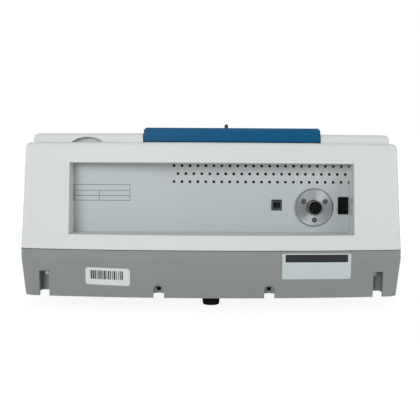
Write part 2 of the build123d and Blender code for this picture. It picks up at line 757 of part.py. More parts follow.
# Small board behind the panel that carries the data socket
interface_board_width = 60.0
interface_board_height = 46.0
interface_board_y = usb_front_y - usb_depth - board_thick
with BuildPart() as interface_board:
    with BuildSketch(Plane.XZ.offset(-interface_board_y)):
        with Locations((usb_x + 10, usb_z - 8)):
            Rectangle(interface_board_width, interface_board_height)
    extrude(amount=-board_thick)
    with BuildSketch(Plane.XZ.offset(-interface_board_y)):
        with Locations((usb_x + 22, usb_z - 16), (usb_x - 2, usb_z - 4)):
            Rectangle(10, 10)
    extrude(amount=1.4)
    with BuildSketch(Plane.XZ.offset(-interface_board_y)):
        with Locations((usb_x + 10, usb_z - 26)):
            Rectangle(28, 7)
    extrude(amount=8)
    # two stand-offs to the panel
    with BuildSketch(Plane.XZ.offset(-(interface_board_y + board_thick))):
        with Locations((usb_x + 34, usb_z + 9), (usb_x + 34, usb_z - 26)):
            Circle(2.5)
    extrude(amount=-(panel_y - panel_sheet - interface_board_y - board_thick))
interface_board.part.label = "interface_board"
export_step(interface_board.part, "parts/interface_board.step")

# Power socket: a turned flange, a threaded ring, a dark insert with pins, and three screws
flange_y = film_y
flange_face_y = flange_y + power_flange_thick
thread_start_y = flange_face_y + thread_relief
power_neck_radius = power_hole_radius - screw_gap
flange_dish = 0.6
flange_screw_radius = 1.5
power_screw_spots = [(power_x + power_screw_circle * cos(radians(a)),
                      power_z + power_screw_circle * sin(radians(a))) for a in (30, 150, 270)]
with BuildPart() as power_flange:
    with BuildSketch(Plane.XY):
        with BuildLine():
            Polyline((power_hole_radius, 0), (power_flange_radius, 0),
                     (power_flange_radius, power_flange_thick - 1.0),
                     (power_flange_radius - 1.2, power_flange_thick),
                     (power_flange_radius - 2.4, power_flange_thick),
                     (power_hole_radius, power_flange_thick - flange_dish), close=True)
        make_face()
    revolve(axis=Axis.Y)
    with BuildSketch(Plane.XZ):
        with PolarLocations(power_screw_circle, 3, start_angle=30):
            Circle(flange_screw_radius + screw_gap)
    extrude(amount=-power_flange_thick, mode=Mode.SUBTRACT)
power_flange.part.move(Location((power_x, flange_y, power_z)))
power_flange.part.label = "power_flange"
export_step(power_flange.part, "parts/power_flange.step")

ring_back_y = panel_y - panel_sheet - 3.0
ring_front_y = flange_face_y + power_ring_length
ring_edge = 0.6
insert_depth = 6.5  # the insert's face, inside the ring's mouth
insert_y = ring_front_y - insert_depth
with BuildPart() as power_ring:
    # threaded outside in front of the flange, a thinner neck through the flange and the panel
    with BuildSketch(Plane.XZ.offset(-thread_start_y)):
        with Locations((power_x, power_z)):
            Circle(power_thread_radius)
    extrude(amount=-(ring_front_y - thread_start_y))
    chamfer(power_ring.faces().sort_by(Axis.Y)[-1].edges(), length=ring_edge)
    with BuildSketch(Plane.XZ.offset(-thread_start_y)):
        with Locations((power_x, power_z)):
            Circle(power_neck_radius)
    extrude(amount=thread_start_y - ring_back_y)
    with BuildSketch(Plane.XZ.offset(-ring_front_y)):
        with Locations((power_x, power_z)):
            Circle(power_bore_radius)
    extrude(amount=ring_front_y - ring_back_y, mode=Mode.SUBTRACT)
power_ring.part.label = "power_ring"
export_step(power_ring.part, "parts/power_ring.step")

pin_circle = 4.2
pin_radius = 0.75
pin_rise = 1.6  # out of the insert's face
pin_tail = 4.0
pin_spots = [(power_x, power_z)]
pin_spots += [(power_x + pin_circle * cos(radians(a)), power_z + pin_circle * sin(radians(a)))
              for a in range(18, 378, 72)]
key_width = 2.4
key_height = 1.8
key_length = 4.5
with BuildPart() as power_insert:
    with BuildSketch(Plane.XZ.offset(-ring_back_y)):
        with Locations((power_x, power_z)):
            Circle(power_bore_radius - screw_gap)
        with Locations(*pin_spots):
            Circle(pin_radius + screw_gap, mode=Mode.SUBTRACT)
    extrude(amount=-(insert_y - ring_back_y))
    # key at the top of the bore
    with BuildSketch(Plane.XZ.offset(-insert_y)):
        with Locations((power_x, power_z + power_bore_radius - 0.2 - key_height / 2)):
            Rectangle(key_width, key_height)
    extrude(amount=-key_length)
power_insert.part.label = "power_insert"
export_step(power_insert.part, "parts/power_insert.step")

with BuildPart() as power_pins:
    with BuildSketch(Plane.XZ.offset(-(ring_back_y - pin_tail))):
        with Locations(*pin_spots):
            Circle(pin_radius)
    extrude(amount=-(insert_y + pin_rise - ring_back_y + pin_tail))
power_pins.part.label = "power_pins"
export_step(power_pins.part, "parts/power_pins.step")

flange_screw_face_y = flange_face_y - 0.15
flange_head_radius = 2.75
flange_head_height = 2.6
flange_socket_radius = 1.45
flange_socket_depth = 1.4
with BuildPart() as flange_screws:
    with BuildSketch(Plane.XZ.offset(-flange_screw_face_y)):
        with Locations(*power_screw_spots):
            Circle(flange_head_radius)
    extrude(amount=-flange_head_height)
    chamfer(flange_screws.faces().group_by(Axis.Y)[-1].edges(), length=0.35)
    with BuildSketch(Plane.XZ.offset(-(flange_screw_face_y + flange_head_height))):
        with Locations(*power_screw_spots):
            RegularPolygon(radius=flange_socket_radius, side_count=6)
    extrude(amount=flange_socket_depth, mode=Mode.SUBTRACT)
    with BuildSketch(Plane.XZ.offset(-flange_screw_face_y)):
        with Locations(*power_screw_spots):
            Circle(flange_screw_radius)
    extrude(amount=flange_screw_face_y - flange_y - 0.2)
flange_screws.part.label = "flange_screws"
export_step(flange_screws.part, "parts/flange_screws.step")

# Power switch: bezel and body, and a rocker on a short axle
switch_face_y = film_y + switch_bezel
rocker_gap = 0.35
rocker_axis_y = film_y - 1.0
axle_radius = 1.2
switch_body_depth = 16.0
switch_well_depth = 12.0
rocker_back = 4.5  # behind the axle
rocker_shoulder = 3.6
rocker_end = 5.4
rocker_ridge = 4.0
with BuildPart() as switch_housing:
    with BuildSketch(Plane.XZ.offset(-film_y)):
        with Locations((switch_x, switch_z)):
            RectangleRounded(switch_width, switch_height, 0.8)
    extrude(amount=-switch_bezel)
    chamfer(switch_housing.faces().sort_by(Axis.Y)[-1].edges(), length=0.5)
    with BuildSketch(Plane.XZ.offset(-film_y)):
        with Locations((switch_x, switch_z)):
            Rectangle(switch_cut_width - 0.2, switch_cut_height - 0.2)
    extrude(amount=switch_body_depth)
    with BuildSketch(Plane.XZ.offset(-switch_face_y)):
        with Locations((switch_x, switch_z)):
            Rectangle(rocker_width + 2 * rocker_gap, rocker_height + 2 * rocker_gap + 1.0)
    extrude(amount=switch_bezel + switch_well_depth, mode=Mode.SUBTRACT)
    with BuildSketch(Plane.YZ.offset(switch_x - switch_width / 2 + 1.2)):
        with Locations((rocker_axis_y, switch_z)):
            Circle(axle_radius)
    extrude(amount=switch_width - 2.4)
switch_housing.part.label = "switch_housing"
export_step(switch_housing.part, "parts/switch_housing.step")

# The rocker rests with its upper half pressed in; its two flat halves meet at a shallow ridge
with BuildPart() as switch_rocker:
    with BuildSketch(Plane.YZ.offset(switch_x - rocker_width / 2)):
        with BuildLine():
            Polyline((-rocker_back, -rocker_height / 2 + 1.6), (rocker_shoulder, -rocker_height / 2),
                     (rocker_end, -rocker_height / 2 + 0.6), (rocker_ridge, 0),
                     (rocker_end, rocker_height / 2 - 0.6), (rocker_shoulder, rocker_height / 2),
                     (-rocker_back, rocker_height / 2 - 1.6), close=True)
        make_face()
        Circle(axle_radius + hinge_running_gap, mode=Mode.SUBTRACT)
    extrude(amount=rocker_width)
switch_rocker.part.move(Location((0, rocker_axis_y, switch_z)) * Location((0, 0, 0), (rocker_tilt, 0, 0)))
switch_rocker.part.label = "switch_rocker"
export_step(switch_rocker.part, "parts/switch_rocker.step")

# Two screws in the pockets, through the base into the cover's tongues
cover_head_radius = 2.6
cover_head_height = 2.2
cover_socket_radius = 1.4
cover_socket_depth = 1.2
with BuildPart() as cover_screws:
    with BuildSketch(Plane.XZ.offset(-pocket_back_y)):
        with Locations(*pocket_spots):
            Circle(cover_head_radius)
    extrude(amount=-cover_head_height)
    chamfer(cover_screws.faces().group_by(Axis.Y)[-1].edges(), length=0.4)
    with BuildSketch(Plane.XZ.offset(-(pocket_back_y + cover_head_height))):
        with Locations(*pocket_spots):
            RegularPolygon(radius=cover_socket_radius, side_count=6)
    extrude(amount=cover_socket_depth, mode=Mode.SUBTRACT)
    with BuildSketch(Plane.XZ.offset(-pocket_back_y)):
        with Locations(*pocket_spots):
            Circle(cover_screw_radius)
    extrude(amount=pocket_wall + tongue_thick - 0.5)
cover_screws.part.label = "cover_screws"
export_step(cover_screws.part, "parts/cover_screws.step")


# Section of the lid seen from the side, outer face drawn in by the inset
def lid_section(inset, low_z, rear):
    front_gap = lid_gap * sqrt(1 + front_slope**2)
    outer_top = lid_top_z - inset
    outer_front_low = cover_front(lid_bottom_z) - lid_front_proud + inset
    outer_front_top = outer_front_low + (outer_top - lid_bottom_z) * front_slope
    inner_top = cover_front(low_z) - front_gap
    inner_low = cover_front(lid_bottom_z) - front_gap
    with BuildSketch() as section:
        with BuildLine():
            Polyline((rear, low_z), (rear, outer_top), (outer_front_top, outer_top),
                     (outer_front_low, lid_bottom_z), (inner_low, lid_bottom_z), (inner_top, low_z),
                     close=True)
        make_face()
        fillet(section.vertices().group_by(Axis.Y)[-1].sort_by(Axis.X)[0], radius=lid_front_radius - inset)
    return section.sketch


boss_width = 3.0
boss_xs = [x + side * (hinge_ear / 2 + fit_gap) for x, side in zip(hinge_ear_xs, (-1, 1))]
with BuildPart() as sample_lid:
    with BuildSketch(Plane.YZ.offset(lid_left)):
        add(lid_section(0, lid_low_z, lid_rear_y))
    extrude(amount=lid_width)
    top_face = sample_lid.faces().filter_by(Axis.Z).sort_by(Axis.Z)[-1]
    front_face = sample_lid.faces().filter_by(GeomType.PLANE).sort_by(Axis.Y)[0]
    bend_face = sample_lid.faces().filter_by(GeomType.CYLINDER)[0]
    rim_edges = top_face.edges() + front_face.edges() + bend_face.edges()
    rim_edges = [edge for edge in rim_edges if abs(edge.center().X - lid_center_x) > lid_width / 2 - 1]
    rim_edges.append(top_face.edges().sort_by(Axis.Y)[-1])
    chamfer(rim_edges, length=lid_chamfer)
    with BuildSketch(Plane.YZ.offset(lid_left + lid_wall)):
        add(lid_section(lid_wall, lid_low_z - 1, lid_rear_y - lid_wall))
    extrude(amount=lid_width - 2 * lid_wall, mode=Mode.SUBTRACT)
    # a boss at each end takes the hinge pin
    for x, side in zip(boss_xs, (-1, 1)):
        with BuildSketch(Plane.YZ.offset(x)):
            with BuildLine():
                Polyline((hinge_y - hinge_eye_radius, hinge_z), (hinge_y - 8.0, lid_top_z - lid_wall + 0.5),
                         (lid_rear_y - lid_wall + 0.5, lid_top_z - lid_wall + 0.5),
                         (lid_rear_y - lid_wall + 0.5, hinge_z), close=True)
            make_face()
            with Locations((hinge_y, hinge_z)):
                Circle(hinge_eye_radius)
                Circle(hinge_pin_radius + hinge_running_gap, mode=Mode.SUBTRACT)
        extrude(amount=side * boss_width)
sample_lid.part.label = "sample_lid"
export_step(sample_lid.part, "parts/sample_lid.step")

# Turned pull knob on the lid's middle line
knob_foot_edge = 1.6
knob_neck_radius = 0.95 * knob_tip_radius
knob_neck_rise = 10.0
with BuildPart() as lid_knob:
    with BuildSketch(Plane.XZ):
        with BuildLine():
            Polyline((0, 0), (knob_foot_radius, 0), (knob_foot_radius, knob_foot_edge))
            ThreePointArc((knob_foot_radius, knob_foot_edge), (knob_foot_radius * 0.52, 4.4),
                          (knob_neck_radius, knob_neck_rise))
            Line((knob_neck_radius, knob_neck_rise), (knob_tip_radius, knob_rise - knob_tip_radius))
            ThreePointArc((knob_tip_radius, knob_rise - knob_tip_radius),
                          (knob_tip_radius * cos(radians(45)),
                           knob_rise - knob_tip_radius * (1 - sin(radians(45)))),
                          (0, knob_rise))
            Line((0, knob_rise), (0, 0))
        make_face()
    revolve(axis=Axis.Z)
lid_knob.part.move(Location((lid_center_x, knob_y, lid_top_z)))
lid_knob.part.label = "lid_knob"
export_step(lid_knob.part, "parts/lid_knob.step")

# Hinge brackets on the cover: a foot plate with an upright ear round the pin
with BuildPart() as hinge_brackets:
    for x in hinge_ear_xs:
        with Locations((x, bracket_front_y, cover_top_z)):
            Box(2 * bracket_half_width, bracket_rear_y - bracket_front_y, bracket_thick,
                align=(Align.CENTER, Align.MIN, Align.MIN))
        with BuildSketch(Plane.YZ.offset(x - hinge_ear / 2)):
            with BuildLine():
                Polyline((bracket_front_y + 14, bracket_top_z), (bracket_rear_y, bracket_top_z),
                         (bracket_rear_y, bracket_top_z + bracket_thick),
                         (hinge_y, hinge_z - hinge_eye_radius),
                         (hinge_y - eye_slant, hinge_z + eye_slant), close=True)
            make_face()
            with Locations((hinge_y, hinge_z)):
                Circle(hinge_eye_radius)
                Circle(hinge_pin_radius + screw_gap, mode=Mode.SUBTRACT)
        extrude(amount=hinge_ear)
    with Locations(*[(x, y, bracket_top_z) for x, y in bracket_screw_spots]):
        Hole(bracket_screw_radius + screw_gap, depth=bracket_thick)
hinge_brackets.part.label = "hinge_brackets"
export_step(hinge_brackets.part, "parts/hinge_brackets.step")

bracket_head_radius = 2.3
bracket_head_height = 1.5
with BuildPart() as bracket_screws:
    with BuildSketch(Plane.XY.offset(bracket_top_z)):
        with Locations(*bracket_screw_spots):
            Circle(bracket_head_radius)
    extrude(amount=bracket_head_height)
    with BuildSketch(Plane.XY.offset(bracket_top_z)):
        with Locations(*bracket_screw_spots):
            Circle(bracket_screw_radius)
    extrude(amount=-bracket_thick - cover_wall + 0.3)
bracket_screws.part.label = "bracket_screws"
export_step(bracket_screws.part, "parts/bracket_screws.step")

with BuildPart() as hinge_pins:
    for x, side in zip(hinge_ear_xs, (-1, 1)):
        with BuildSketch(Plane.YZ.offset(x - side * hinge_ear)):
            with Locations((hinge_y, hinge_z)):
                Circle(hinge_pin_radius)
        extrude(amount=side * (1.5 * hinge_ear + fit_gap + boss_width + 0.5))
hinge_pins.part.label = "hinge_pins"
export_step(hinge_pins.part, "parts/hinge_pins.step")

# Optical bench: a ribbed plate on four rubber mounts
bench_half = half_width - tray_wall - lip_inset - bench_margin
bench_tongue_gap = 7.8
bench_board_gap = 10.0
bench_rear_y = min(pocket_back_y - pocket_wall - tongue_thick - bench_tongue_gap,
                   interface_board_y - bench_board_gap)
bench_front_y = front_y + tray_wall + lip_inset + bench_margin
bench_corner_radius = 10.0
bench_edge = 1.0
bench_hole_radius = bench_screw_radius + 0.4
rib_end_gap = 20.0
bench_head_radius = 4.5
bench_head_height = 4.0
bench_socket_radius = 2.3
bench_socket_depth = 2.2
with BuildPart() as optical_bench:
    with BuildSketch(Plane.XY.offset(bench_z)):
        with Locations((0, (bench_rear_y + bench_front_y) / 2)):
            RectangleRounded(2 * bench_half, bench_rear_y - bench_front_y, bench_corner_radius)
    extrude(amount=bench_thick)
    chamfer(optical_bench.faces().sort_by(Axis.Z)[-1].edges(), length=bench_edge)
    with BuildSketch(Plane.XY.offset(bench_z)):
        Rectangle(2 * (mount_x - rib_end_gap), bench_rib)
        with GridLocations(2 * mount_x - 3 * rib_end_gap, 0, 2, 1):
            Rectangle(bench_rib, 2 * (mount_y - rib_end_gap))
    extrude(amount=-bench_rib)
    with Locations(*[(x, y, bench_top_z) for x, y in mount_spots]):
        Hole(bench_hole_radius, depth=bench_thick)
optical_bench.part.label = "optical_bench"
export_step(optical_bench.part, "parts/optical_bench.step")

with BuildPart() as bench_mounts:
    with BuildSketch(Plane.XY.offset(post_top_z)):
        with Locations(*mount_spots):
            Circle(mount_radius)
            Circle(bench_hole_radius, mode=Mode.SUBTRACT)
    extrude(amount=mount_height)
bench_mounts.part.label = "bench_mounts"
export_step(bench_mounts.part, "parts/bench_mounts.step")

with BuildPart() as bench_screws:
    with BuildSketch(Plane.XY.offset(bench_top_z)):
        with Locations(*mount_spots):
            Circle(bench_head_radius)
    extrude(amount=bench_head_height)
    with BuildSketch(Plane.XY.offset(bench_top_z + bench_head_height)):
        with Locations(*mount_spots):
            RegularPolygon(radius=bench_socket_radius, side_count=6)
    extrude(amount=-bench_socket_depth, mode=Mode.SUBTRACT)
    with BuildSketch(Plane.XY.offset(bench_top_z)):
        with Locations(*mount_spots):
            Circle(bench_screw_radius)
    extrude(amount=-bench_thick - mount_height - bench_screw_grip)
bench_screws.part.label = "bench_screws"
export_step(bench_screws.part, "parts/bench_screws.step")


# Side outline of the sample compartment, drawn in by the inset
def tub_section(inset, top_z):
    front_in = cover_wall + fit_gap + inset
    low_z = tub_floor_z + inset
    with BuildSketch() as section:
        with BuildLine():
            Polyline((tub_rear_y - inset, low_z), (tub_rear_y - inset, top_z),
                     (cover_front(top_z) + front_in, top_z), (cover_front(low_z) + front_in, low_z),
                     close=True)
        make_face()
    return section.sketch


tub_top_z = cover_top_z - cover_wall - fit_gap
tub_foot_radius = 6.0
tub_foot_inset = 20.0
tub_foot_spread = 120.0
with BuildPart() as sample_tub:
    with BuildSketch(Plane.YZ.offset(tub_left)):
        add(tub_section(0, tub_top_z))
    extrude(amount=tub_right - tub_left)
    with BuildSketch(Plane.YZ.offset(tub_left + tub_wall)):
        add(tub_section(tub_wall, tub_top_z + 1))
    extrude(amount=tub_right - tub_left - 2 * tub_wall, mode=Mode.SUBTRACT)
    with Locations((tub_middle_x, cover_front(tub_sill_z), tub_sill_z)):
        Box(tub_right - tub_left - 2 * tub_wall, 100, tub_top_z - tub_sill_z + 1,
            align=(Align.CENTER, Align.CENTER, Align.MIN), mode=Mode.SUBTRACT)
    # feet down to the bench
    with BuildSketch(Plane.XY.offset(tub_floor_z)):
        with Locations((tub_middle_x, (tub_rear_y + cover_front(tub_floor_z)) / 2)):
            with GridLocations(tub_right - tub_left - 2 * tub_foot_inset, tub_foot_spread, 2, 2):
                Circle(tub_foot_radius)
    extrude(amount=-tub_rise)
    with BuildSketch(Plane.YZ.offset(tub_left)):
        with Locations((beam_y, beam_z)):
            Circle(port_radius)
    extrude(amount=tub_right - tub_left, mode=Mode.SUBTRACT)
sample_tub.part.label = "sample_tub"
export_step(sample_tub.part, "parts/sample_tub.step")

# Beam windows: a ring on each side wall of the compartment, with the disc set in its back
with BuildPart() as window_rings:
    for x, side in ((tub_left + tub_wall, 1), (tub_right - tub_wall, -1)):
        with BuildSketch(Plane.YZ.offset(x)):
            with Locations((beam_y, beam_z)):
                Circle(window_ring_radius)
                Circle(port_radius, mode=Mode.SUBTRACT)
        extrude(amount=side * window_ring_thick)
        with BuildSketch(Plane.YZ.offset(x)):
            with Locations((beam_y, beam_z)):
                Circle(window_disc_radius + screw_gap)
        extrude(amount=side * (window_disc_thick + 0.1), mode=Mode.SUBTRACT)
    wall_distance = (tub_right - tub_left) / 2 - tub_wall
    rims = [edge for edge in window_rings.edges().filter_by(GeomType.CIRCLE)
            if edge.radius > window_disc_radius + 1
            and abs(edge.center().X - tub_middle_x) < wall_distance - 1]
    chamfer(rims, length=window_ring_edge)
window_rings.part.label = "window_rings"
export_step(window_rings.part, "parts/window_rings.step")

with BuildPart() as beam_windows:
    for x, side in ((tub_left + tub_wall, 1), (tub_right - tub_wall, -1)):
        with BuildSketch(Plane.YZ.offset(x)):
            with Locations((beam_y, beam_z)):
                Circle(window_disc_radius)
        extrude(amount=side * window_disc_thick)
beam_windows.part.label = "beam_windows"
export_step(beam_windows.part, "parts/beam_windows.step")

# Sample mount: a base with two grooved posts, and the card that slides down between them
card_x = tub_middle_x
mount_base_z = tub_floor_z + tub_wall
mount_base_width = 44.0
mount_base_margin = 3.0
mount_base_corner = 4.0
post_width = 14.0
card_corner_radius = 3.0
card_hole_radius = 10.0
with BuildPart() as sample_mount:
    with BuildSketch(Plane.XY.offset(mount_base_z)):
        with Locations((card_x, beam_y)):
            RectangleRounded(mount_base_width, card_width + 2 * mount_post + 2 * mount_base_margin,
                             mount_base_corner)
    extrude(amount=card_seat_z - mount_base_z)
    with BuildSketch(Plane.XY.offset(card_seat_z)):
        with Locations((card_x, beam_y)):
            with GridLocations(0, card_width + 2 * groove_gap + mount_post - groove_depth, 1, 2):
                Rectangle(post_width, mount_post)
            Rectangle(card_thick + 2 * groove_gap, card_width + 2 * groove_gap, mode=Mode.SUBTRACT)
    extrude(amount=groove_height)
sample_mount.part.label = "sample_mount"
export_step(sample_mount.part, "parts/sample_mount.step")

with BuildPart() as sample_card:
    with BuildSketch(Plane.YZ.offset(card_x - card_thick / 2)):
        with Locations((beam_y, card_seat_z + fit_gap + card_height / 2)):
            RectangleRounded(card_width, card_height, card_corner_radius)
        with Locations((beam_y, beam_z)):
            Circle(card_hole_radius, mode=Mode.SUBTRACT)
    extrude(amount=card_thick)
sample_card.part.label = "sample_card"
export_step(sample_card.part, "parts/sample_card.step")

# Optics. Every part stands on the bench with its bore on the beam's height.
chamber_right_x = cover_half(beam_z) - cover_wall
bs_x = (tub_right + chamber_right_x) / 2
detector_x = (tub_left - chamber_right_x) / 2
mount_plate = 10.0
mount_foot = 8.0


# Upright plane on the beam's height whose normal points along a heading in plan
def optic_plane(x, y, heading):
    nx = cos(radians(heading))
    ny = sin(radians(heading))
    return Plane(origin=(x, y, beam_z), x_dir=(-ny, nx, 0), z_dir=(nx, ny, 0))


# Upright plate with a bore, widened to a foot where it stands on the bench
def optic_mount(plane, width, bore, thick, above):
    with BuildPart() as mount:
        with BuildSketch(plane):
            with Locations((0, -beam_rise)):
                Rectangle(width, beam_rise + above, align=(Align.CENTER, Align.MIN))
            Circle(bore, mode=Mode.SUBTRACT)
        extrude(amount=-thick)
        with BuildSketch(plane.offset(mount_foot)):
            with Locations((0, -beam_rise)):
                Rectangle(width, mount_foot, align=(Align.CENTER, Align.MIN))
        extrude(amount=-thick - 2 * mount_foot)
    return mount.part


# Round optic seated in a mount's bore
def optic_disc(plane, radius, thick):
    with BuildPart() as disc:
        with BuildSketch(plane):
            Circle(radius)
        extrude(amount=-thick)
    return disc.part


bs_plane = optic_plane(bs_x, beam_y, 135)
with BuildPart() as beamsplitter_mount:
    add(optic_mount(bs_plane.offset(bs_thick / 2), bs_frame, bs_opening + screw_gap, bs_thick, bs_frame / 2))
beamsplitter_mount.part.label = "beamsplitter_mount"
export_step(beamsplitter_mount.part, "parts/beamsplitter_mount.step")

with BuildPart() as beamsplitter:
    add(optic_disc(bs_plane.offset(mirror_thick / 2), bs_opening, mirror_thick))
beamsplitter.part.label = "beamsplitter"
export_step(beamsplitter.part, "parts/beamsplitter.step")

mirror_mount_width = 2 * (mirror_radius + 5.0)
mirror_mount_above = mirror_radius + 7.0
fixed_plane = optic_plane(bs_x + fixed_mirror_offset, beam_y, 180)
with BuildPart() as fixed_mirror_mount:
    add(optic_mount(fixed_plane, mirror_mount_width, mirror_radius + screw_gap, mount_plate,
                    mirror_mount_above))
fixed_mirror_mount.part.label = "fixed_mirror_mount"
export_step(fixed_mirror_mount.part, "parts/fixed_mirror_mount.step")

with BuildPart() as fixed_mirror:
    add(optic_disc(fixed_plane, mirror_radius, mirror_thick))
fixed_mirror.part.label = "fixed_mirror"
export_step(fixed_mirror.part, "parts/fixed_mirror.step")

# Moving mirror: two guide rods between end plates, a carriage that runs on them, and its drive
rod_radius = 3.0
rod_spread = 15.0
rod_drop = 28.0  # rods, below the beam
rod_boss = 7.0  # carriage material round a rod
guide_half_width = rod_spread + 8.0
guide_base = 8.0
moving_y = beam_y - moving_mirror_offset
carriage_plate = 7.0
carriage_length = 14.0
guide_plate = 5.0
guide_end_gap = 1.0
carriage_y = moving_y - mirror_thick
guide_front_y = carriage_y - carriage_length - drive_travel - guide_end_gap - guide_plate
guide_rear_y = carriage_y + drive_travel + guide_end_gap + guide_plate
guide_length = guide_rear_y - guide_front_y
with BuildPart() as mirror_guide:
    with BuildSketch(Plane.XY.offset(bench_top_z)):
        with Locations((bs_x, (guide_front_y + guide_rear_y) / 2)):
            Rectangle(2 * guide_half_width, guide_length)
    extrude(amount=guide_base)
    for y in (guide_front_y, guide_rear_y - guide_plate):
        with BuildSketch(Plane.XZ.offset(-y)):
            with Locations((bs_x, bench_top_z)):
                Rectangle(2 * guide_half_width, beam_rise - rod_drop + 2 * rod_radius,
                          align=(Align.CENTER, Align.MIN))
        extrude(amount=-guide_plate)
    with BuildSketch(Plane.XZ.offset(-guide_front_y)):
        with Locations((bs_x, beam_z - rod_drop)):
            with GridLocations(2 * rod_spread, 0, 2, 1):
                Circle(rod_radius)
    extrude(amount=-guide_length)
mirror_guide.part.label = "mirror_guide"
export_step(mirror_guide.part, "parts/mirror_guide.step")

with BuildPart() as mirror_carriage:
    with BuildSketch(Plane.XZ.offset(-carriage_y)):
        with Locations((bs_x, beam_z - rod_drop - rod_boss)):
            Rectangle(2 * (rod_spread + rod_boss), rod_drop + rod_boss + mirror_radius,
                      align=(Align.CENTER, Align.MIN))
    extrude(amount=carriage_plate)
    with BuildSketch(Plane.XZ.offset(-carriage_y)):
        with Locations((bs_x, beam_z - rod_drop)):
            Rectangle(2 * (rod_spread + rod_boss), 2 * rod_boss)
    extrude(amount=carriage_length)
    with BuildSketch(Plane.XZ.offset(-carriage_y)):
        with Locations((bs_x, beam_z - rod_drop)):
            with GridLocations(2 * rod_spread, 0, 2, 1):
                Circle(rod_radius + hinge_running_gap)
    extrude(amount=carriage_length, mode=Mode.SUBTRACT)
mirror_carriage.part.label = "mirror_carriage"
export_step(mirror_carriage.part, "parts/mirror_carriage.step")

with BuildPart() as moving_mirror:
    add(optic_disc(optic_plane(bs_x, moving_y, 90), mirror_radius, mirror_thick))
moving_mirror.part.label = "moving_mirror"
export_step(moving_mirror.part, "parts/moving_mirror.step")

# Voice coil on the carriage, in the ring gap of a fixed magnet
coil_length = 14.0
coil_wall = 2.0
coil_gap = 1.2
coil_back_y = carriage_y - carriage_plate
magnet_face_y = coil_back_y - drive_travel - 2.0
magnet_length = 20.0
magnet_back = 4.0
magnet_shell = 6.0
magnet_stand_width = 20.0
magnet_radius = coil_radius + coil_gap + magnet_shell
magnet_stand_y = guide_front_y - fit_gap
with BuildPart() as drive_coil:
    with BuildSketch(Plane.XZ.offset(-coil_back_y)):
        with Locations((bs_x, beam_z)):
            Circle(coil_radius)
            Circle(coil_radius - coil_wall, mode=Mode.SUBTRACT)
    extrude(amount=coil_length)
drive_coil.part.label = "drive_coil"
export_step(drive_coil.part, "parts/drive_coil.step")

with BuildPart() as drive_magnet:
    with BuildSketch(Plane.XZ.offset(-magnet_face_y)):
        with Locations((bs_x, beam_z)):
            Circle(magnet_radius)
    extrude(amount=magnet_length)
    with BuildSketch(Plane.XZ.offset(-magnet_face_y)):
        with Locations((bs_x, beam_z)):
            Circle(coil_radius + coil_gap)
            Circle(coil_radius - coil_wall - coil_gap, mode=Mode.SUBTRACT)
    extrude(amount=magnet_length - magnet_back, mode=Mode.SUBTRACT)
    with BuildSketch(Plane.XZ.offset(-magnet_stand_y)):
        with Locations((bs_x, bench_top_z)):
            Rectangle(magnet_stand_width, beam_rise - magnet_radius + magnet_shell / 2,
                      align=(Align.CENTER, Align.MIN))
    extrude(amount=magnet_stand_y - magnet_face_y + magnet_length)
drive_magnet.part.label = "drive_magnet"
export_step(drive_magnet.part, "parts/drive_magnet.step")

# Infrared source: a finned housing, a dished mirror and a glowing rod on a ceramic base
source_y = beam_y + source_offset
source_bore = 21.0
source_length = 42.0
source_wall = 4.0
source_back = 3.0
fin_count = 6
fin_pitch = 6.4
fin_thick = 2.0
fin_reach = 5.0
source_stand_start = 4.0
source_stand_width = 34.0
source_stand_length = 34.0
with BuildPart() as source_housing:
    with BuildSketch(Plane.XZ.offset(-source_y)):
        with Locations((bs_x, beam_z)):
            Circle(source_bore + source_wall)
    extrude(amount=-source_length)
    for i in range(fin_count):
        with BuildSketch(Plane.XZ.offset(-(source_y + source_stand_start + i * fin_pitch))):
            with Locations((bs_x, beam_z)):
                Circle(source_bore + source_wall + fin_reach)
        extrude(amount=-fin_thick)
    with BuildSketch(Plane.XZ.offset(-(source_y + source_stand_start))):
        with Locations((bs_x, bench_top_z)):
            Rectangle(source_stand_width, beam_rise - source_bore, align=(Align.CENTER, Align.MIN))
    extrude(amount=-source_stand_length)
    with BuildSketch(Plane.XZ.offset(-source_y)):
        with Locations((bs_x, beam_z)):
            Circle(source_bore)
    extrude(amount=-(source_length - source_back), mode=Mode.SUBTRACT)
source_housing.part.label = "source_housing"
export_step(source_housing.part, "parts/source_housing.step")

dish_radius = 34.0
dish_thick = 12.0
dish_floor = 2.0
dish_gap = 0.2
dish_bottom_y = source_y + source_length - source_back - dish_floor
with BuildPart() as source_mirror:
    with BuildSketch(Plane.XZ.offset(-(source_y + source_length - source_back))):
        with Locations((bs_x, beam_z)):
            Circle(source_bore - dish_gap)
    extrude(amount=dish_thick)
    with Locations((bs_x, dish_bottom_y - dish_radius, beam_z)):
        Sphere(dish_radius, mode=Mode.SUBTRACT)
source_mirror.part.label = "source_mirror"
export_step(source_mirror.part, "parts/source_mirror.step")

element_y = dish_bottom_y - dish_radius / 2
element_radius = 1.6
element_length = 14.0
element_base_radius = 5.0
with BuildPart() as source_element:
    with Locations((bs_x, element_y, beam_z)):
        Cylinder(element_radius, element_length)
    with Locations((bs_x, element_y, beam_z - element_length / 2)):
        Cylinder(element_base_radius, source_bore - element_length / 2 - 0.1,
                 align=(Align.CENTER, Align.CENTER, Align.MAX))
    with BuildSketch(Plane.XZ.offset(-source_y)):
        with Locations((bs_x, beam_z)):
            Circle(source_bore - 0.1)
    extrude(amount=-source_length, mode=Mode.INTERSECT)
source_element.part.label = "source_element"
export_step(source_element.part, "parts/source_element.step")

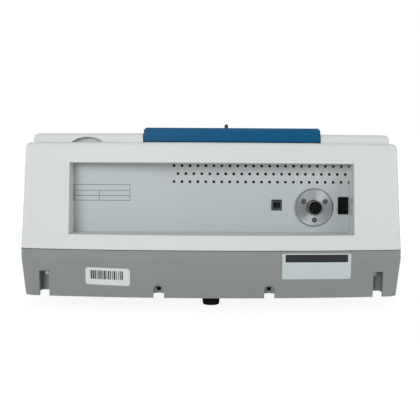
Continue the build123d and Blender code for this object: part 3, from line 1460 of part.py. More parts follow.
# Reference laser in its bracket, parallel to the beam
laser_x = bs_x + fixed_mirror_offset - 6.0
laser_y = beam_y + 84.0
laser_bracket_width = 18.0
laser_bracket_thick = 14.0
laser_bracket_above = 10.0
laser_length = 36.0
laser_back = 26.0  # rear end of the module, behind the bracket's face
with BuildPart() as laser_bracket:
    add(optic_mount(optic_plane(laser_x, laser_y, 90), laser_bracket_width, laser_radius + screw_gap,
                    laser_bracket_thick, laser_bracket_above))
laser_bracket.part.label = "laser_bracket"
export_step(laser_bracket.part, "parts/laser_bracket.step")

with BuildPart() as laser_module:
    with BuildSketch(Plane.XZ.offset(-(laser_y - laser_back))):
        with Locations((laser_x, beam_z)):
            Circle(laser_radius)
    extrude(amount=-laser_length)
    chamfer(laser_module.faces().filter_by(GeomType.PLANE).edges(), length=0.6)
laser_module.part.label = "laser_module"
export_step(laser_module.part, "parts/laser_module.step")

# Detector side: a dished mirror turns the beam to the detector, with its amplifier behind it
detector_mirror_radius = 21.0
detector_mirror_thick = 8.0
detector_dish_radius = 98.0
detector_dish_floor = 2.0
turn_plane = optic_plane(detector_x, beam_y, -45)
with BuildPart() as detector_mirror_mount:
    add(optic_mount(turn_plane, 2 * detector_mirror_radius + 8, detector_mirror_radius + screw_gap,
                    mount_plate, detector_mirror_radius + 5))
detector_mirror_mount.part.label = "detector_mirror_mount"
export_step(detector_mirror_mount.part, "parts/detector_mirror_mount.step")

with BuildPart() as detector_mirror:
    add(optic_disc(turn_plane, detector_mirror_radius, detector_mirror_thick))
    with Locations(turn_plane.offset(detector_dish_radius - detector_dish_floor)):
        Sphere(detector_dish_radius, mode=Mode.SUBTRACT)
detector_mirror.part.label = "detector_mirror"
export_step(detector_mirror.part, "parts/detector_mirror.step")

detector_y = beam_y - 56.0
detector_block_width = 30.0
detector_block_thick = 12.0
detector_block_above = 16.0
can_radius = 8.0
can_length = 9.0
can_window_radius = 4.0
with BuildPart() as detector_block:
    add(optic_mount(optic_plane(detector_x, detector_y, 90), detector_block_width, can_radius + screw_gap,
                    detector_block_thick, detector_block_above))
detector_block.part.label = "detector_block"
export_step(detector_block.part, "parts/detector_block.step")

with BuildPart() as detector_can:
    with BuildSketch(Plane.XZ.offset(-detector_y)):
        with Locations((detector_x, beam_z)):
            Circle(can_radius)
    extrude(amount=can_length)
    with BuildSketch(Plane.XZ.offset(-detector_y)):
        with Locations((detector_x, beam_z)):
            Circle(can_window_radius)
    extrude(amount=1, mode=Mode.SUBTRACT)
detector_can.part.label = "detector_can"
export_step(detector_can.part, "parts/detector_can.step")

preamp_width = 44.0
preamp_height = 46.0
preamp_y = detector_y - detector_block_thick
preamp_chip = 9.0
preamp_chip_height = 1.5
with BuildPart() as preamp_board:
    with BuildSketch(Plane.XZ.offset(-preamp_y)):
        with Locations((detector_x, beam_z - 10)):
            Rectangle(preamp_width, preamp_height)
    extrude(amount=board_thick)
    with BuildSketch(Plane.XZ.offset(-(preamp_y - board_thick))):
        with Locations((detector_x - 10, beam_z - 6), (detector_x + 9, beam_z - 20)):
            Rectangle(preamp_chip, preamp_chip)
    extrude(amount=preamp_chip_height)
preamp_board.part.label = "preamp_board"
export_step(preamp_board.part, "parts/preamp_board.step")

# Main board on its posts in the base
board_z = floor_top_z + board_post_height
board_blocks = ((-40, 10, 24, 24, 2.4), (20, -20, 14, 14, 1.8), (60, 30, 10, 18, 12),
                (-70, -35, 30, 8, 9), (10, 40, 40, 8, 9), (70, -30, 14, 14, 14))
with BuildPart() as main_board:
    with BuildSketch(Plane.XY.offset(board_z)):
        with Locations((board_center_x, board_center_y)):
            Rectangle(board_length, board_width)
    extrude(amount=board_thick)
    for x, y, length, width, height in board_blocks:
        with Locations((board_center_x + x, board_center_y + y, board_z + board_thick)):
            Box(length, width, height, align=(Align.CENTER, Align.CENTER, Align.MIN))
main_board.part.label = "main_board"
export_step(main_board.part, "parts/main_board.step")

# Desiccant canister under the deck with the finger scoop
canister_radius = 17.0
canister_x = chamber_right_x - canister_radius - chamber_gap
canister_y = -104.0
canister_height = 74.0
canister_cap_height = 9.0
canister_cap_rim = 2.0
with BuildPart() as desiccant_canister:
    with Locations((canister_x, canister_y, bench_top_z)):
        Cylinder(canister_radius, canister_height, align=(Align.CENTER, Align.CENTER, Align.MIN))
    with Locations((canister_x, canister_y, bench_top_z + canister_height)):
        Cylinder(canister_radius + canister_cap_rim, canister_cap_height,
                 align=(Align.CENTER, Align.CENTER, Align.MIN))
    fillet(desiccant_canister.faces().sort_by(Axis.Z)[-1].edges(), radius=canister_cap_rim)
desiccant_canister.part.label = "desiccant_canister"
export_step(desiccant_canister.part, "parts/desiccant_canister.step")
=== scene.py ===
import math

import bmesh
import bpy
from mathutils import Matrix, Vector
from mathutils.bvhtree import BVHTree


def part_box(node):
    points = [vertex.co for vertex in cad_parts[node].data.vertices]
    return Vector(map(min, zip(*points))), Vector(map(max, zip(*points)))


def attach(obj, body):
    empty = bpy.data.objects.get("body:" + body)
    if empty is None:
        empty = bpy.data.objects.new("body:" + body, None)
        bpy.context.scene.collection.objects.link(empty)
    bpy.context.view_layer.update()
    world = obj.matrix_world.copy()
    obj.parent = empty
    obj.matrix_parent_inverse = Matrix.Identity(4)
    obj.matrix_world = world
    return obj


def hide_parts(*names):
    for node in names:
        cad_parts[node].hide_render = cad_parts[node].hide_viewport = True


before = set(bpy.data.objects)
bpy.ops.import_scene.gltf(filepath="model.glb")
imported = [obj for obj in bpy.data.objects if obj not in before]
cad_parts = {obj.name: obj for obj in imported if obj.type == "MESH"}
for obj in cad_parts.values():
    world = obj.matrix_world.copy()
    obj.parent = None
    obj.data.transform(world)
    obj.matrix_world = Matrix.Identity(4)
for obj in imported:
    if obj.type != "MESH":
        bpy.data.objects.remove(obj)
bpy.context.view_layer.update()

# Benchtop infrared spectrometer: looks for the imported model. Metres, the model's own frame, and the
# photograph looks at the rear side, so the photograph's right is -X here.

mm = 0.001
print("frame loaded:", len(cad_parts), "nodes")


# Helpers for node trees

def colorOf(red, green, blue, alpha=1.0):
    # a colour picked on the 0-255 scale, as the linear value that Blender's sockets take
    linear = []
    for value in (red, green, blue):
        v = value / 255.0
        linear.append(v / 12.92 if v <= 0.04045 else ((v + 0.055) / 1.055) ** 2.4)
    return (*linear, alpha)


def addNode(tree, kind, place, inputs=None, **settings):
    node = tree.nodes.new(kind)
    node.location = (place[0] * 200, place[1] * 180)
    for key, value in settings.items():
        setattr(node, key, value)
    for key, value in (inputs or {}).items():
        if isinstance(value, bpy.types.NodeSocket):
            tree.links.new(value, node.inputs[key])
        else:
            node.inputs[key].default_value = value
    return node


def newGroup(name, inputs, outputs):
    group = bpy.data.node_groups.new(name, "ShaderNodeTree")
    for label, kind, default in inputs:
        socket = group.interface.new_socket(name=label, in_out="INPUT", socket_type=kind)
        if default is not None:
            socket.default_value = default
    for label, kind in outputs:
        group.interface.new_socket(name=label, in_out="OUTPUT", socket_type=kind)
    return group, addNode(group, "NodeGroupInput", (-5, 0)), addNode(group, "NodeGroupOutput", (5, 0))


def useGroup(tree, group, place, **inputs):
    node = addNode(tree, "ShaderNodeGroup", place)
    node.node_tree = group
    for key, value in inputs.items():
        if isinstance(value, bpy.types.NodeSocket):
            tree.links.new(value, node.inputs[key])
        else:
            node.inputs[key].default_value = value
    return node


def objectPoint(tree, place):
    return addNode(tree, "ShaderNodeTexCoord", place).outputs["Object"]


# Effects that several finishes share

def makeMouldedGrain():
    # fine spark-eroded grain of moulded plastic, as a normal
    group, start, end = newGroup(
        "mouldedGrain",
        [("Scale", "NodeSocketFloat", 1400.0), ("Depth", "NodeSocketFloat", 0.25)],
        [("Normal", "NodeSocketVector"), ("Mask", "NodeSocketFloat")])
    point = objectPoint(group, (-5, -2))
    grain = addNode(group, "ShaderNodeTexNoise", (-3, 1),
                    {"Vector": point, "Scale": start.outputs["Scale"], "Detail": 3.0, "Roughness": 0.6})
    pits = addNode(group, "ShaderNodeTexVoronoi", (-3, -1),
                   {"Vector": point, "Scale": start.outputs["Scale"]})
    blend = addNode(group, "ShaderNodeMath", (-1, 0),
                    {0: grain.outputs["Fac"], 1: pits.outputs["Distance"]}, operation="ADD")
    bump = addNode(group, "ShaderNodeBump", (2, 0),
                   {"Height": blend.outputs[0], "Strength": start.outputs["Depth"], "Distance": 0.0002})
    group.links.new(bump.outputs["Normal"], end.inputs["Normal"])
    group.links.new(grain.outputs["Fac"], end.inputs["Mask"])
    return group


def makeSoftMottle():
    # slow, slight change of lightness over a surface, with a few darker handling marks
    group, start, end = newGroup(
        "softMottle",
        [("Color", "NodeSocketColor", (0.5, 0.5, 0.5, 1)), ("Scale", "NodeSocketFloat", 9.0),
         ("Amount", "NodeSocketFloat", 0.06), ("Marks", "NodeSocketFloat", 0.04)],
        [("Color", "NodeSocketColor"), ("Mask", "NodeSocketFloat")])
    point = objectPoint(group, (-5, -2))
    cloud = addNode(group, "ShaderNodeTexNoise", (-3, 1),
                    {"Vector": point, "Scale": start.outputs["Scale"], "Detail": 4.0, "Roughness": 0.55})
    cloudRange = addNode(group, "ShaderNodeMapRange", (-2, 1),
                         {"Value": cloud.outputs["Fac"], "From Min": 0.3, "From Max": 0.7,
                          "To Min": -0.5, "To Max": 0.5})
    cloudAmount = addNode(group, "ShaderNodeMath", (-1, 1),
                          {0: cloudRange.outputs[0], 1: start.outputs["Amount"]}, operation="MULTIPLY")
    fleck = addNode(group, "ShaderNodeTexNoise", (-3, -1), {"Vector": point, "Scale": 160.0, "Detail": 5.0})
    fleckMask = addNode(group, "ShaderNodeMapRange", (-2, -1),
                        {"Value": fleck.outputs["Fac"], "From Min": 0.66, "From Max": 0.78})
    fleckAmount = addNode(group, "ShaderNodeMath", (-1, -1),
                          {0: fleckMask.outputs[0], 1: start.outputs["Marks"]}, operation="MULTIPLY")
    level = addNode(group, "ShaderNodeMath", (0, 0), {0: cloudAmount.outputs[0], 1: fleckAmount.outputs[0]},
                    operation="SUBTRACT")
    value = addNode(group, "ShaderNodeMath", (1, 0), {0: level.outputs[0], 1: 1.0}, operation="ADD")
    shade = addNode(group, "ShaderNodeHueSaturation", (2, 0),
                    {"Color": start.outputs["Color"], "Value": value.outputs[0]})
    group.links.new(shade.outputs["Color"], end.inputs["Color"])
    group.links.new(cloudRange.outputs[0], end.inputs["Mask"])
    return group


def makeSettledDust():
    # a thin film of dust on faces that look up, read from the object's own normal
    group, start, end = newGroup(
        "settledDust",
        [("Color", "NodeSocketColor", (0.5, 0.5, 0.5, 1)),
         ("Dust", "NodeSocketColor", (0.6, 0.58, 0.55, 1)),
         ("Amount", "NodeSocketFloat", 0.12)],
        [("Color", "NodeSocketColor"), ("Mask", "NodeSocketFloat")])
    coords = addNode(group, "ShaderNodeTexCoord", (-5, -2))
    parts = addNode(group, "ShaderNodeSeparateXYZ", (-4, -1), {"Vector": coords.outputs["Normal"]})
    facing = addNode(group, "ShaderNodeMapRange", (-3, -1),
                     {"Value": parts.outputs["Z"], "From Min": 0.5, "From Max": 1.0})
    cloud = addNode(group, "ShaderNodeTexNoise", (-3, 1),
                    {"Vector": coords.outputs["Object"], "Scale": 55.0, "Detail": 6.0, "Roughness": 0.7})
    cloudRange = addNode(group, "ShaderNodeMapRange", (-2, 1),
                         {"Value": cloud.outputs["Fac"], "From Min": 0.35, "From Max": 0.7})
    both = addNode(group, "ShaderNodeMath", (-1, 0), {0: facing.outputs[0], 1: cloudRange.outputs[0]},
                   operation="MULTIPLY")
    amount = addNode(group, "ShaderNodeMath", (0, 0), {0: both.outputs[0], 1: start.outputs["Amount"]},
                     operation="MULTIPLY")
    mix = addNode(group, "ShaderNodeMix", (2, 0), data_type="RGBA")
    group.links.new(amount.outputs[0], mix.inputs[0])
    group.links.new(start.outputs["Color"], mix.inputs[6])
    group.links.new(start.outputs["Dust"], mix.inputs[7])
    group.links.new(mix.outputs[2], end.inputs["Color"])
    group.links.new(amount.outputs[0], end.inputs["Mask"])
    return group


def makeBrushLines():
    # fine lines of brushed or turned metal along one direction
    group, start, end = newGroup(
        "brushLines",
        [("Stretch", "NodeSocketVector", (20.0, 20.0, 2500.0)), ("Depth", "NodeSocketFloat", 0.2),
         ("Roughness", "NodeSocketFloat", 0.3), ("Spread", "NodeSocketFloat", 0.12)],
        [("Normal", "NodeSocketVector"), ("Roughness", "NodeSocketFloat")])
    point = objectPoint(group, (-5, -2))
    stretch = addNode(group, "ShaderNodeVectorMath", (-4, 0), {0: point, 1: start.outputs["Stretch"]},
                      operation="MULTIPLY")
    lines = addNode(group, "ShaderNodeTexNoise", (-3, 0),
                    {"Vector": stretch.outputs[0], "Scale": 1.0, "Detail": 2.0})
    bump = addNode(group, "ShaderNodeBump", (1, 1),
                   {"Height": lines.outputs["Fac"], "Strength": start.outputs["Depth"], "Distance": 0.0001})
    centred = addNode(group, "ShaderNodeMath", (-1, -1), {0: lines.outputs["Fac"], 1: 0.5},
                      operation="SUBTRACT")
    spread = addNode(group, "ShaderNodeMath", (0, -1), {0: centred.outputs[0], 1: start.outputs["Spread"]},
                     operation="MULTIPLY")
    rough = addNode(group, "ShaderNodeMath", (1, -1), {0: spread.outputs[0], 1: start.outputs["Roughness"]},
                    operation="ADD")
    group.links.new(bump.outputs["Normal"], end.inputs["Normal"])
    group.links.new(rough.outputs[0], end.inputs["Roughness"])
    return group


mouldedGrain = makeMouldedGrain()
softMottle = makeSoftMottle()
settledDust = makeSettledDust()
brushLines = makeBrushLines()
print("shared effects built")


# Finishes, each known by its name from here on

def startMaterial(name):
    material = bpy.data.materials.new(name)
    material.use_nodes = True
    tree = material.node_tree
    tree.nodes.clear()
    shader = addNode(tree, "ShaderNodeBsdfPrincipled", (4, 0))
    output = addNode(tree, "ShaderNodeOutputMaterial", (6, 0))
    tree.links.new(shader.outputs["BSDF"], output.inputs["Surface"])
    return tree, shader


def mottled(tree, color, look):
    return useGroup(tree, softMottle, (-2, 1), Color=color, Scale=look["mottleScale"],
                    Amount=look["mottle"], Marks=look["marks"])


def roughRange(tree, mask, roughness, spread):
    # roughness that wanders by the spread to either side
    return addNode(tree, "ShaderNodeMapRange", (2, -1),
                   {"Value": mask, "To Min": roughness - spread, "To Max": roughness + spread})


plasticSpread = 0.06
plasticSpecular = 0.4


def mouldedPlastic(name, color, look):
    tree, shader = startMaterial(name)
    mottle = mottled(tree, color, look)
    dusty = useGroup(tree, settledDust, (0, 1), Color=mottle.outputs["Color"], Amount=look["dust"])
    grain = useGroup(tree, mouldedGrain, (0, -2), Scale=look["grainScale"], Depth=look["grainDepth"])
    rough = roughRange(tree, grain.outputs["Mask"], look["roughness"], plasticSpread)
    tree.links.new(dusty.outputs["Color"], shader.inputs["Base Color"])
    tree.links.new(rough.outputs[0], shader.inputs["Roughness"])
    tree.links.new(grain.outputs["Normal"], shader.inputs["Normal"])
    shader.inputs["Specular IOR Level"].default_value = look.get("specular", plasticSpecular)


def workedMetal(name, color, look):
    tree, shader = startMaterial(name)
    mottle = mottled(tree, color, look)
    lines = useGroup(tree, brushLines, (0, -1), Stretch=look["stretch"], Depth=look["lineDepth"],
                     Roughness=look["roughness"], Spread=look["spread"])
    tree.links.new(mottle.outputs["Color"], shader.inputs["Base Color"])
    tree.links.new(lines.outputs["Roughness"], shader.inputs["Roughness"])
    tree.links.new(lines.outputs["Normal"], shader.inputs["Normal"])
    shader.inputs["Metallic"].default_value = look.get("metallic", 1.0)


coverLook = {"mottleScale": 7.0, "mottle": 0.025, "marks": 0.03, "dust": 0.05, "grainScale": 1500.0,
             "grainDepth": 0.12, "roughness": 0.5, "specular": 0.22}
baseLook = {"mottleScale": 11.0, "mottle": 0.05, "marks": 0.12, "dust": 0.05, "grainScale": 900.0,
            "grainDepth": 0.3, "roughness": 0.55}
lidLook = {"mottleScale": 14.0, "mottle": 0.03, "marks": 0.03, "dust": 0.02, "grainScale": 1800.0,
           "grainDepth": 0.06, "roughness": 0.38, "specular": 0.15}
rubberLook = {"mottleScale": 60.0, "mottle": 0.3, "marks": 0.2, "dust": 0.15, "grainScale": 700.0,
              "grainDepth": 0.5, "roughness": 0.8, "specular": 0.3}
darkLook = {"mottleScale": 40.0, "mottle": 0.15, "marks": 0.1, "dust": 0.04, "grainScale": 1500.0,
            "grainDepth": 0.2, "roughness": 0.5, "specular": 0.12}
filmLook = {"mottleScale": 5.0, "mottle": 0.05, "marks": 0.02, "dust": 0.0, "grainScale": 2400.0,
            "grainDepth": 0.05, "roughness": 0.38}
boardLook = {"mottleScale": 90.0, "mottle": 0.25, "marks": 0.3, "dust": 0.1, "grainScale": 500.0,
             "grainDepth": 0.3, "roughness": 0.4}
sheetLook = {"mottleScale": 12.0, "mottle": 0.05, "marks": 0.05, "stretch": (1600.0, 40.0, 40.0),
             "lineDepth": 0.05, "roughness": 0.55, "spread": 0.1, "metallic": 0.1}
turnedLook = {"mottleScale": 60.0, "mottle": 0.08, "marks": 0.08, "stretch": (2200.0, 300.0, 2200.0),
              "lineDepth": 0.12, "roughness": 0.32, "spread": 0.2}
screwLook = {"mottleScale": 300.0, "mottle": 0.2, "marks": 0.2, "stretch": (1500.0, 1500.0, 1500.0),
             "lineDepth": 0.15, "roughness": 0.35, "spread": 0.2}
castLook = {"mottleScale": 30.0, "mottle": 0.12, "marks": 0.12, "stretch": (900.0, 60.0, 900.0),
            "lineDepth": 0.2, "roughness": 0.45, "spread": 0.2}
mirrorLook = {"mottleScale": 30.0, "mottle": 0.02, "marks": 0.0, "stretch": (60.0, 60.0, 60.0),
              "lineDepth": 0.0, "roughness": 0.05, "spread": 0.02}

plasticFinishes = {
    "coverWhite": (colorOf(216, 220, 218), coverLook),
    "baseGrey": (colorOf(138, 143, 141), baseLook),
    "lidBlue": (colorOf(6, 84, 125), lidLook),
    "footRubber": (colorOf(24, 25, 25), rubberLook),
    # black plastic of the sockets and the switch; the same dark also paints the shade round the flange screws
    "socketDarkAndRimShade": (colorOf(12, 13, 13), darkLook),
    "tubDark": (colorOf(52, 54, 56), darkLook),
    "filmGrey": (colorOf(184, 191, 193), filmLook),
    "cardWhite": (colorOf(224, 221, 210), filmLook),
    "boardGreen": (colorOf(26, 92, 56), boardLook),
    "ceramicCream": (colorOf(226, 205, 186), darkLook),
    "inkDark": (colorOf(34, 37, 40), filmLook),
    "labelPale": (colorOf(196, 207, 209), filmLook),
    "labelWhite": (colorOf(214, 221, 218), filmLook),
}
metalFinishes = {
    "panelPaint": (colorOf(188, 190, 192), sheetLook),
    "platedSteel": (colorOf(190, 190, 188), screwLook),
    "blackScrew": (colorOf(60, 60, 62), screwLook),
    "castAluminium": (colorOf(176, 178, 180), castLook),
    "blackAnodised": (colorOf(34, 35, 38), castLook),
    "usbSteel": (colorOf(96, 99, 101), screwLook),
    "agedScrew": (colorOf(120, 122, 122), screwLook),
    # threaded ring of the power socket: nickel darkened as painted shade, standing in for the shade between
    # the thread's turns
    "nickelWithPaintedShade": (colorOf(132, 135, 137), turnedLook),
    # power pins: brass darkened to a dull grey as painted shade, for the shadow deep inside the socket
    "pinPaintedShade": (colorOf(58, 54, 46), screwLook),
    "coilCopper": (colorOf(196, 116, 74), turnedLook),
    "goldMirror": (colorOf(248, 214, 140), mirrorLook),
}
for name, (color, look) in plasticFinishes.items():
    mouldedPlastic(name, color, look)
for name, (color, look) in metalFinishes.items():
    workedMetal(name, color, look)

glassLook = {"hazeScale": 120.0, "clear": 0.02, "hazy": 0.1, "transmission": 0.9, "ior": 1.5}


def makeOpticGlass():
    tree, shader = startMaterial("opticGlass")
    haze = addNode(tree, "ShaderNodeTexNoise", (-2, 0),
                   {"Vector": objectPoint(tree, (-3, 0)), "Scale": glassLook["hazeScale"], "Detail": 3.0})
    rough = addNode(tree, "ShaderNodeMapRange", (0, 0),
                    {"Value": haze.outputs["Fac"], "To Min": glassLook["clear"], "To Max": glassLook["hazy"]})
    tree.links.new(rough.outputs[0], shader.inputs["Roughness"])
    shader.inputs["Base Color"].default_value = colorOf(236, 240, 226)
    shader.inputs["Transmission Weight"].default_value = glassLook["transmission"]
    shader.inputs["IOR"].default_value = glassLook["ior"]


makeOpticGlass()


def boxMiddle(box):
    return Vector([(low + high) / 2 for low, high in zip(box[0], box[1])])


def turnedMetal(name, color, look, centre):
    # metal faced on a lathe: fine rings and a fanned sheen about an axis along y through the centre
    tree, shader = startMaterial(name)
    point = objectPoint(tree, (-6, 0))
    fromAxis = addNode(tree, "ShaderNodeVectorMath", (-5, 0), {0: point, 1: (centre.x, 0, centre.z)},
                       operation="SUBTRACT")
    flat = addNode(tree, "ShaderNodeVectorMath", (-4, 0), {0: fromAxis.outputs[0], 1: (1, 0, 1)},
                   operation="MULTIPLY")
    radius = addNode(tree, "ShaderNodeVectorMath", (-3, 0), {0: flat.outputs[0]}, operation="LENGTH")
    across = addNode(tree, "ShaderNodeCombineXYZ", (-2, 0), {"X": radius.outputs["Value"]})
    rings = addNode(tree, "ShaderNodeTexNoise", (-1, 0),
                    {"Vector": across.outputs[0], "Scale": look["ringScale"], "Detail": 3.0})
    bump = addNode(tree, "ShaderNodeBump", (2, -2),
                   {"Height": rings.outputs["Fac"], "Strength": look["ringDepth"], "Distance": 0.0001})
    rough = roughRange(tree, rings.outputs["Fac"], look["roughness"], look["spread"])
    mottle = mottled(tree, color, look)
    tree.links.new(mottle.outputs["Color"], shader.inputs["Base Color"])
    tree.links.new(rough.outputs[0], shader.inputs["Roughness"])
    tree.links.new(bump.outputs["Normal"], shader.inputs["Normal"])
    along = addNode(tree, "ShaderNodeVectorMath", (-2, -2), {0: flat.outputs[0], 1: (0, 1, 0)},
                    operation="CROSS_PRODUCT")
    tree.links.new(along.outputs[0], shader.inputs["Tangent"])
    shader.inputs["Anisotropic"].default_value = look["sheen"]
    shader.inputs["Metallic"].default_value = 1.0


faceLook = {"ringScale": 900.0, "ringDepth": 0.35, "roughness": 0.34, "spread": 0.1, "mottleScale": 60.0,
            "mottle": 0.06, "marks": 0.08, "sheen": 0.75}
turnedMetal("turnedFace", colorOf(176, 180, 182), faceLook, boxMiddle(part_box("power_flange")))

finishOf = {
    "coverWhite": ["top_cover", "detector_deck", "interferometer_deck"],
    "baseGrey": ["base_tray"],
    "footRubber": ["feet", "bench_mounts"],
    "platedSteel": ["foot_screws", "panel_screws", "bracket_screws", "cover_screws",
                    "hinge_brackets", "hinge_pins"],
    "blackScrew": ["bench_screws", "lid_knob"],
    "agedScrew": ["flange_screws"],
    "lidBlue": ["sample_lid"],
    "panelPaint": ["rear_panel"],
    "filmGrey": ["rear_film"],
    "usbSteel": ["usb_shell"],
    "turnedFace": ["power_flange"],
    "nickelWithPaintedShade": ["power_ring"],
    "socketDarkAndRimShade": ["usb_tongue", "power_insert", "switch_housing", "switch_rocker"],
    # the pins' dark colour is painted shade from deep in the socket
    "pinPaintedShade": ["power_pins"],
    "boardGreen": ["interface_board", "preamp_board", "main_board"],
    "castAluminium": ["optical_bench", "source_housing", "desiccant_canister", "detector_can"],
    "blackAnodised": ["window_rings", "sample_mount", "beamsplitter_mount", "fixed_mirror_mount",
                      "mirror_guide", "mirror_carriage", "drive_magnet", "laser_bracket", "laser_module",
                      "detector_mirror_mount", "detector_block"],
    "tubDark": ["sample_tub"],
    "goldMirror": ["fixed_mirror", "moving_mirror", "source_mirror", "detector_mirror"],
    "opticGlass": ["beam_windows", "beamsplitter"],
    "cardWhite": ["sample_card"],
    "ceramicCream": ["source_element"],
    "coilCopper": ["drive_coil"],
}
for finish, names in finishOf.items():
    for name in names:
        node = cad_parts[name]
        node.data.materials.clear()
        node.data.materials.append(bpy.data.materials[finish])
print("finishes on", sum(len(names) for names in finishOf.values()), "nodes")


# Helpers for pieces

sheetLift = 0.02 * mm
weldDistance = 0.002 * mm
rayStartY = 0.4
sheetRows = 4


def surfaceOf(nodeName):
    # a search tree over a node's faces, so that labels and marks sit on the real surface
    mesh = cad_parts[nodeName].data
    points = [v.co.copy() for v in mesh.vertices]
    faces = [tuple(p.vertices) for p in mesh.polygons]
    return BVHTree.FromPolygons(points, faces)


def rearPoint(surface, x, z, lift):
    hit, normal, _, _ = surface.ray_cast(Vector((x, rayStartY, z)), Vector((0, -1, 0)))
    if normal.y < 0:
        normal = -normal
    return hit + normal * lift


def addPiece(name, mesh, finish, body):
    piece = bpy.data.objects.new(name, mesh)
    bpy.context.scene.collection.objects.link(piece)
    mesh.materials.clear()
    mesh.materials.append(bpy.data.materials[finish])
    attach(piece, body)
    return piece


def meshFrom(work, name):
    mesh = bpy.data.meshes.new(name)
    work.to_mesh(mesh)
    work.free()
    return mesh


def outwardMesh(work, name):
    bmesh.ops.recalc_face_normals(work, faces=work.faces)
    return meshFrom(work, name)


def laidSheet(name, surface, outline, lift, thick, finish, steps=24):
    # a thin sheet on the rear of a node: outline(u, v) gives the place for u and v from 0 to 1
    work = bmesh.new()
    rows = []
    for level in (lift, lift + thick):
        grid = []
        for i in range(steps + 1):
            line = []
            for j in range(sheetRows + 1):
                x, z = outline(i / steps, j / sheetRows)
                line.append(work.verts.new(rearPoint(surface, x, z, level)))
            grid.append(line)
        rows.append(grid)
    low, high = rows
    for i in range(steps):
        for j in range(sheetRows):
            work.faces.new((high[i][j], high[i + 1][j], high[i + 1][j + 1], high[i][j + 1]))
            work.faces.new((low[i][j], low[i][j + 1], low[i + 1][j + 1], low[i + 1][j]))
    for i in range(steps):
        work.faces.new((low[i][0], low[i + 1][0], high[i + 1][0], high[i][0]))
        work.faces.new((low[i][-1], high[i][-1], high[i + 1][-1], low[i + 1][-1]))
    for j in range(sheetRows):
        work.faces.new((low[0][j], high[0][j], high[0][j + 1], low[0][j + 1]))
        work.faces.new((low[steps][j], low[steps][j + 1], high[steps][j + 1], high[steps][j]))
    return addPiece(name, outwardMesh(work, name), finish, "instrument")


def drapeOnRear(mesh, surface, lift):
    # a flat mesh drawn at y = 0 is laid on a node's rear side, its own y kept as height over the surface
    for vertex in mesh.vertices:
        x, height, z = vertex.co
        vertex.co = rearPoint(surface, x, z, lift + height)
    mesh.update()


def plainMeshOf(holder, name):
    # the evaluated result of an object's modifier as a mesh of its own, and the holder is gone
    graph = bpy.context.evaluated_depsgraph_get()
    mesh = bpy.data.meshes.new_from_object(holder.evaluated_get(graph))
    mesh.name = name
    holder.modifiers.clear()
    bpy.data.objects.remove(holder)
    return mesh


def newGeometryTree(name, inputs):
    tree = bpy.data.node_groups.new(name, "GeometryNodeTree")
    tree.interface.new_socket(name="Geometry", in_out="INPUT", socket_type="NodeSocketGeometry")
    for label, kind, default in inputs:
        socket = tree.interface.new_socket(name=label, in_out="INPUT", socket_type=kind)
        if default is not None:
            socket.default_value = default
    tree.interface.new_socket(name="Geometry", in_out="OUTPUT", socket_type="NodeSocketGeometry")
    return tree, addNode(tree, "NodeGroupInput", (-6, 0)), addNode(tree, "NodeGroupOutput", (7, 0))


def endTree(tree, end, geometry, finish):
    # every tree ends in plain geometry with its material
    real = addNode(tree, "GeometryNodeRealizeInstances", (5, 0), {"Geometry": geometry})
    painted = addNode(tree, "GeometryNodeSetMaterial", (6, 0),
                      {"Geometry": real.outputs[0], "Material": bpy.data.materials[finish]})
    tree.links.new(painted.outputs[0], end.inputs["Geometry"])


def runTree(tree, start, name, values):
    # the tree run on a start mesh, with its inputs set by their identifiers
    holder = bpy.data.objects.new(name + "Holder", start)
    bpy.context.scene.collection.objects.link(holder)
    modifier = holder.modifiers.new(name, "NODES")
    modifier.node_group = tree
    for item in tree.interface.items_tree:
        if item.item_type == "SOCKET" and item.in_out == "INPUT" and item.name in values:
            modifier[item.identifier] = values[item.name]
    return plainMeshOf(holder, name)


boxFaces = ((0, 1, 2, 3), (7, 6, 5, 4), (0, 4, 5, 1), (1, 5, 6, 2), (2, 6, 7, 3), (3, 7, 4, 0))


def boxesMesh(name, boxes, thick):
    # flat bars in the x-z plane, drawn at y = 0: each is low x, high x, low z, high z
    work = bmesh.new()
    for lowX, highX, lowZ, highZ in boxes:
        corners = []
        for y in (0.0, thick):
            for x, z in ((lowX, lowZ), (highX, lowZ), (highX, highZ), (lowX, highZ)):
                corners.append(work.verts.new((x, y, z)))
        for face in boxFaces:
            work.faces.new([corners[i] for i in face])
    return outwardMesh(work, name)


def roundedOutline(left, right, low, high, slant, corner):
    # a rectangle with rounded corners, its right end lower by slant; u runs across and v upwards
    def outline(u, v):
        x = left + (right - left) * u
        edge = min(u, 1 - u) * abs(right - left)
        inside = max(0.0, corner - edge)
        cut = corner - math.sqrt(max(0.0, corner**2 - inside**2)) if edge < corner else 0.0
        return x, low + cut - slant * u + (high - low - 2 * cut) * v
    return outline


# Name plate on the base, left bare apart from its dark band, and a stock sticker
plateLook = {"left": -85 * mm, "right": -169.6 * mm, "low": 40.4 * mm, "high": 71.6 * mm, "slant": 0.2 * mm,
             "corner": 0.6 * mm, "thick": 0.25 * mm, "bandInset": 3.9 * mm}
bandLook = {"left": plateLook["left"] - plateLook["bandInset"],
            "right": plateLook["right"] + plateLook["bandInset"], "low": 61.1 * mm, "high": 70.3 * mm,
            "slant": plateLook["slant"], "corner": 0.2 * mm, "thick": 0.05 * mm}
stickerLook = {"left": 152.7 * mm, "right": 98.5 * mm, "low": 32.6 * mm, "high": 53.6 * mm,
               "slant": 1.5 * mm, "corner": 2.2 * mm, "thick": 0.12 * mm}
baseRear = surfaceOf("base_tray")


def laidLabel(name, look, lift, finish):
    outline = roundedOutline(look["left"], look["right"], look["low"], look["high"], look["slant"],
                             look["corner"])
    laidSheet(name, baseRear, outline, lift, look["thick"], finish)


laidLabel("namePlate", plateLook, sheetLift, "labelPale")
laidLabel("namePlateBand", bandLook, sheetLift + plateLook["thick"], "inkDark")
laidLabel("stockSticker", stickerLook, sheetLift, "labelWhite")


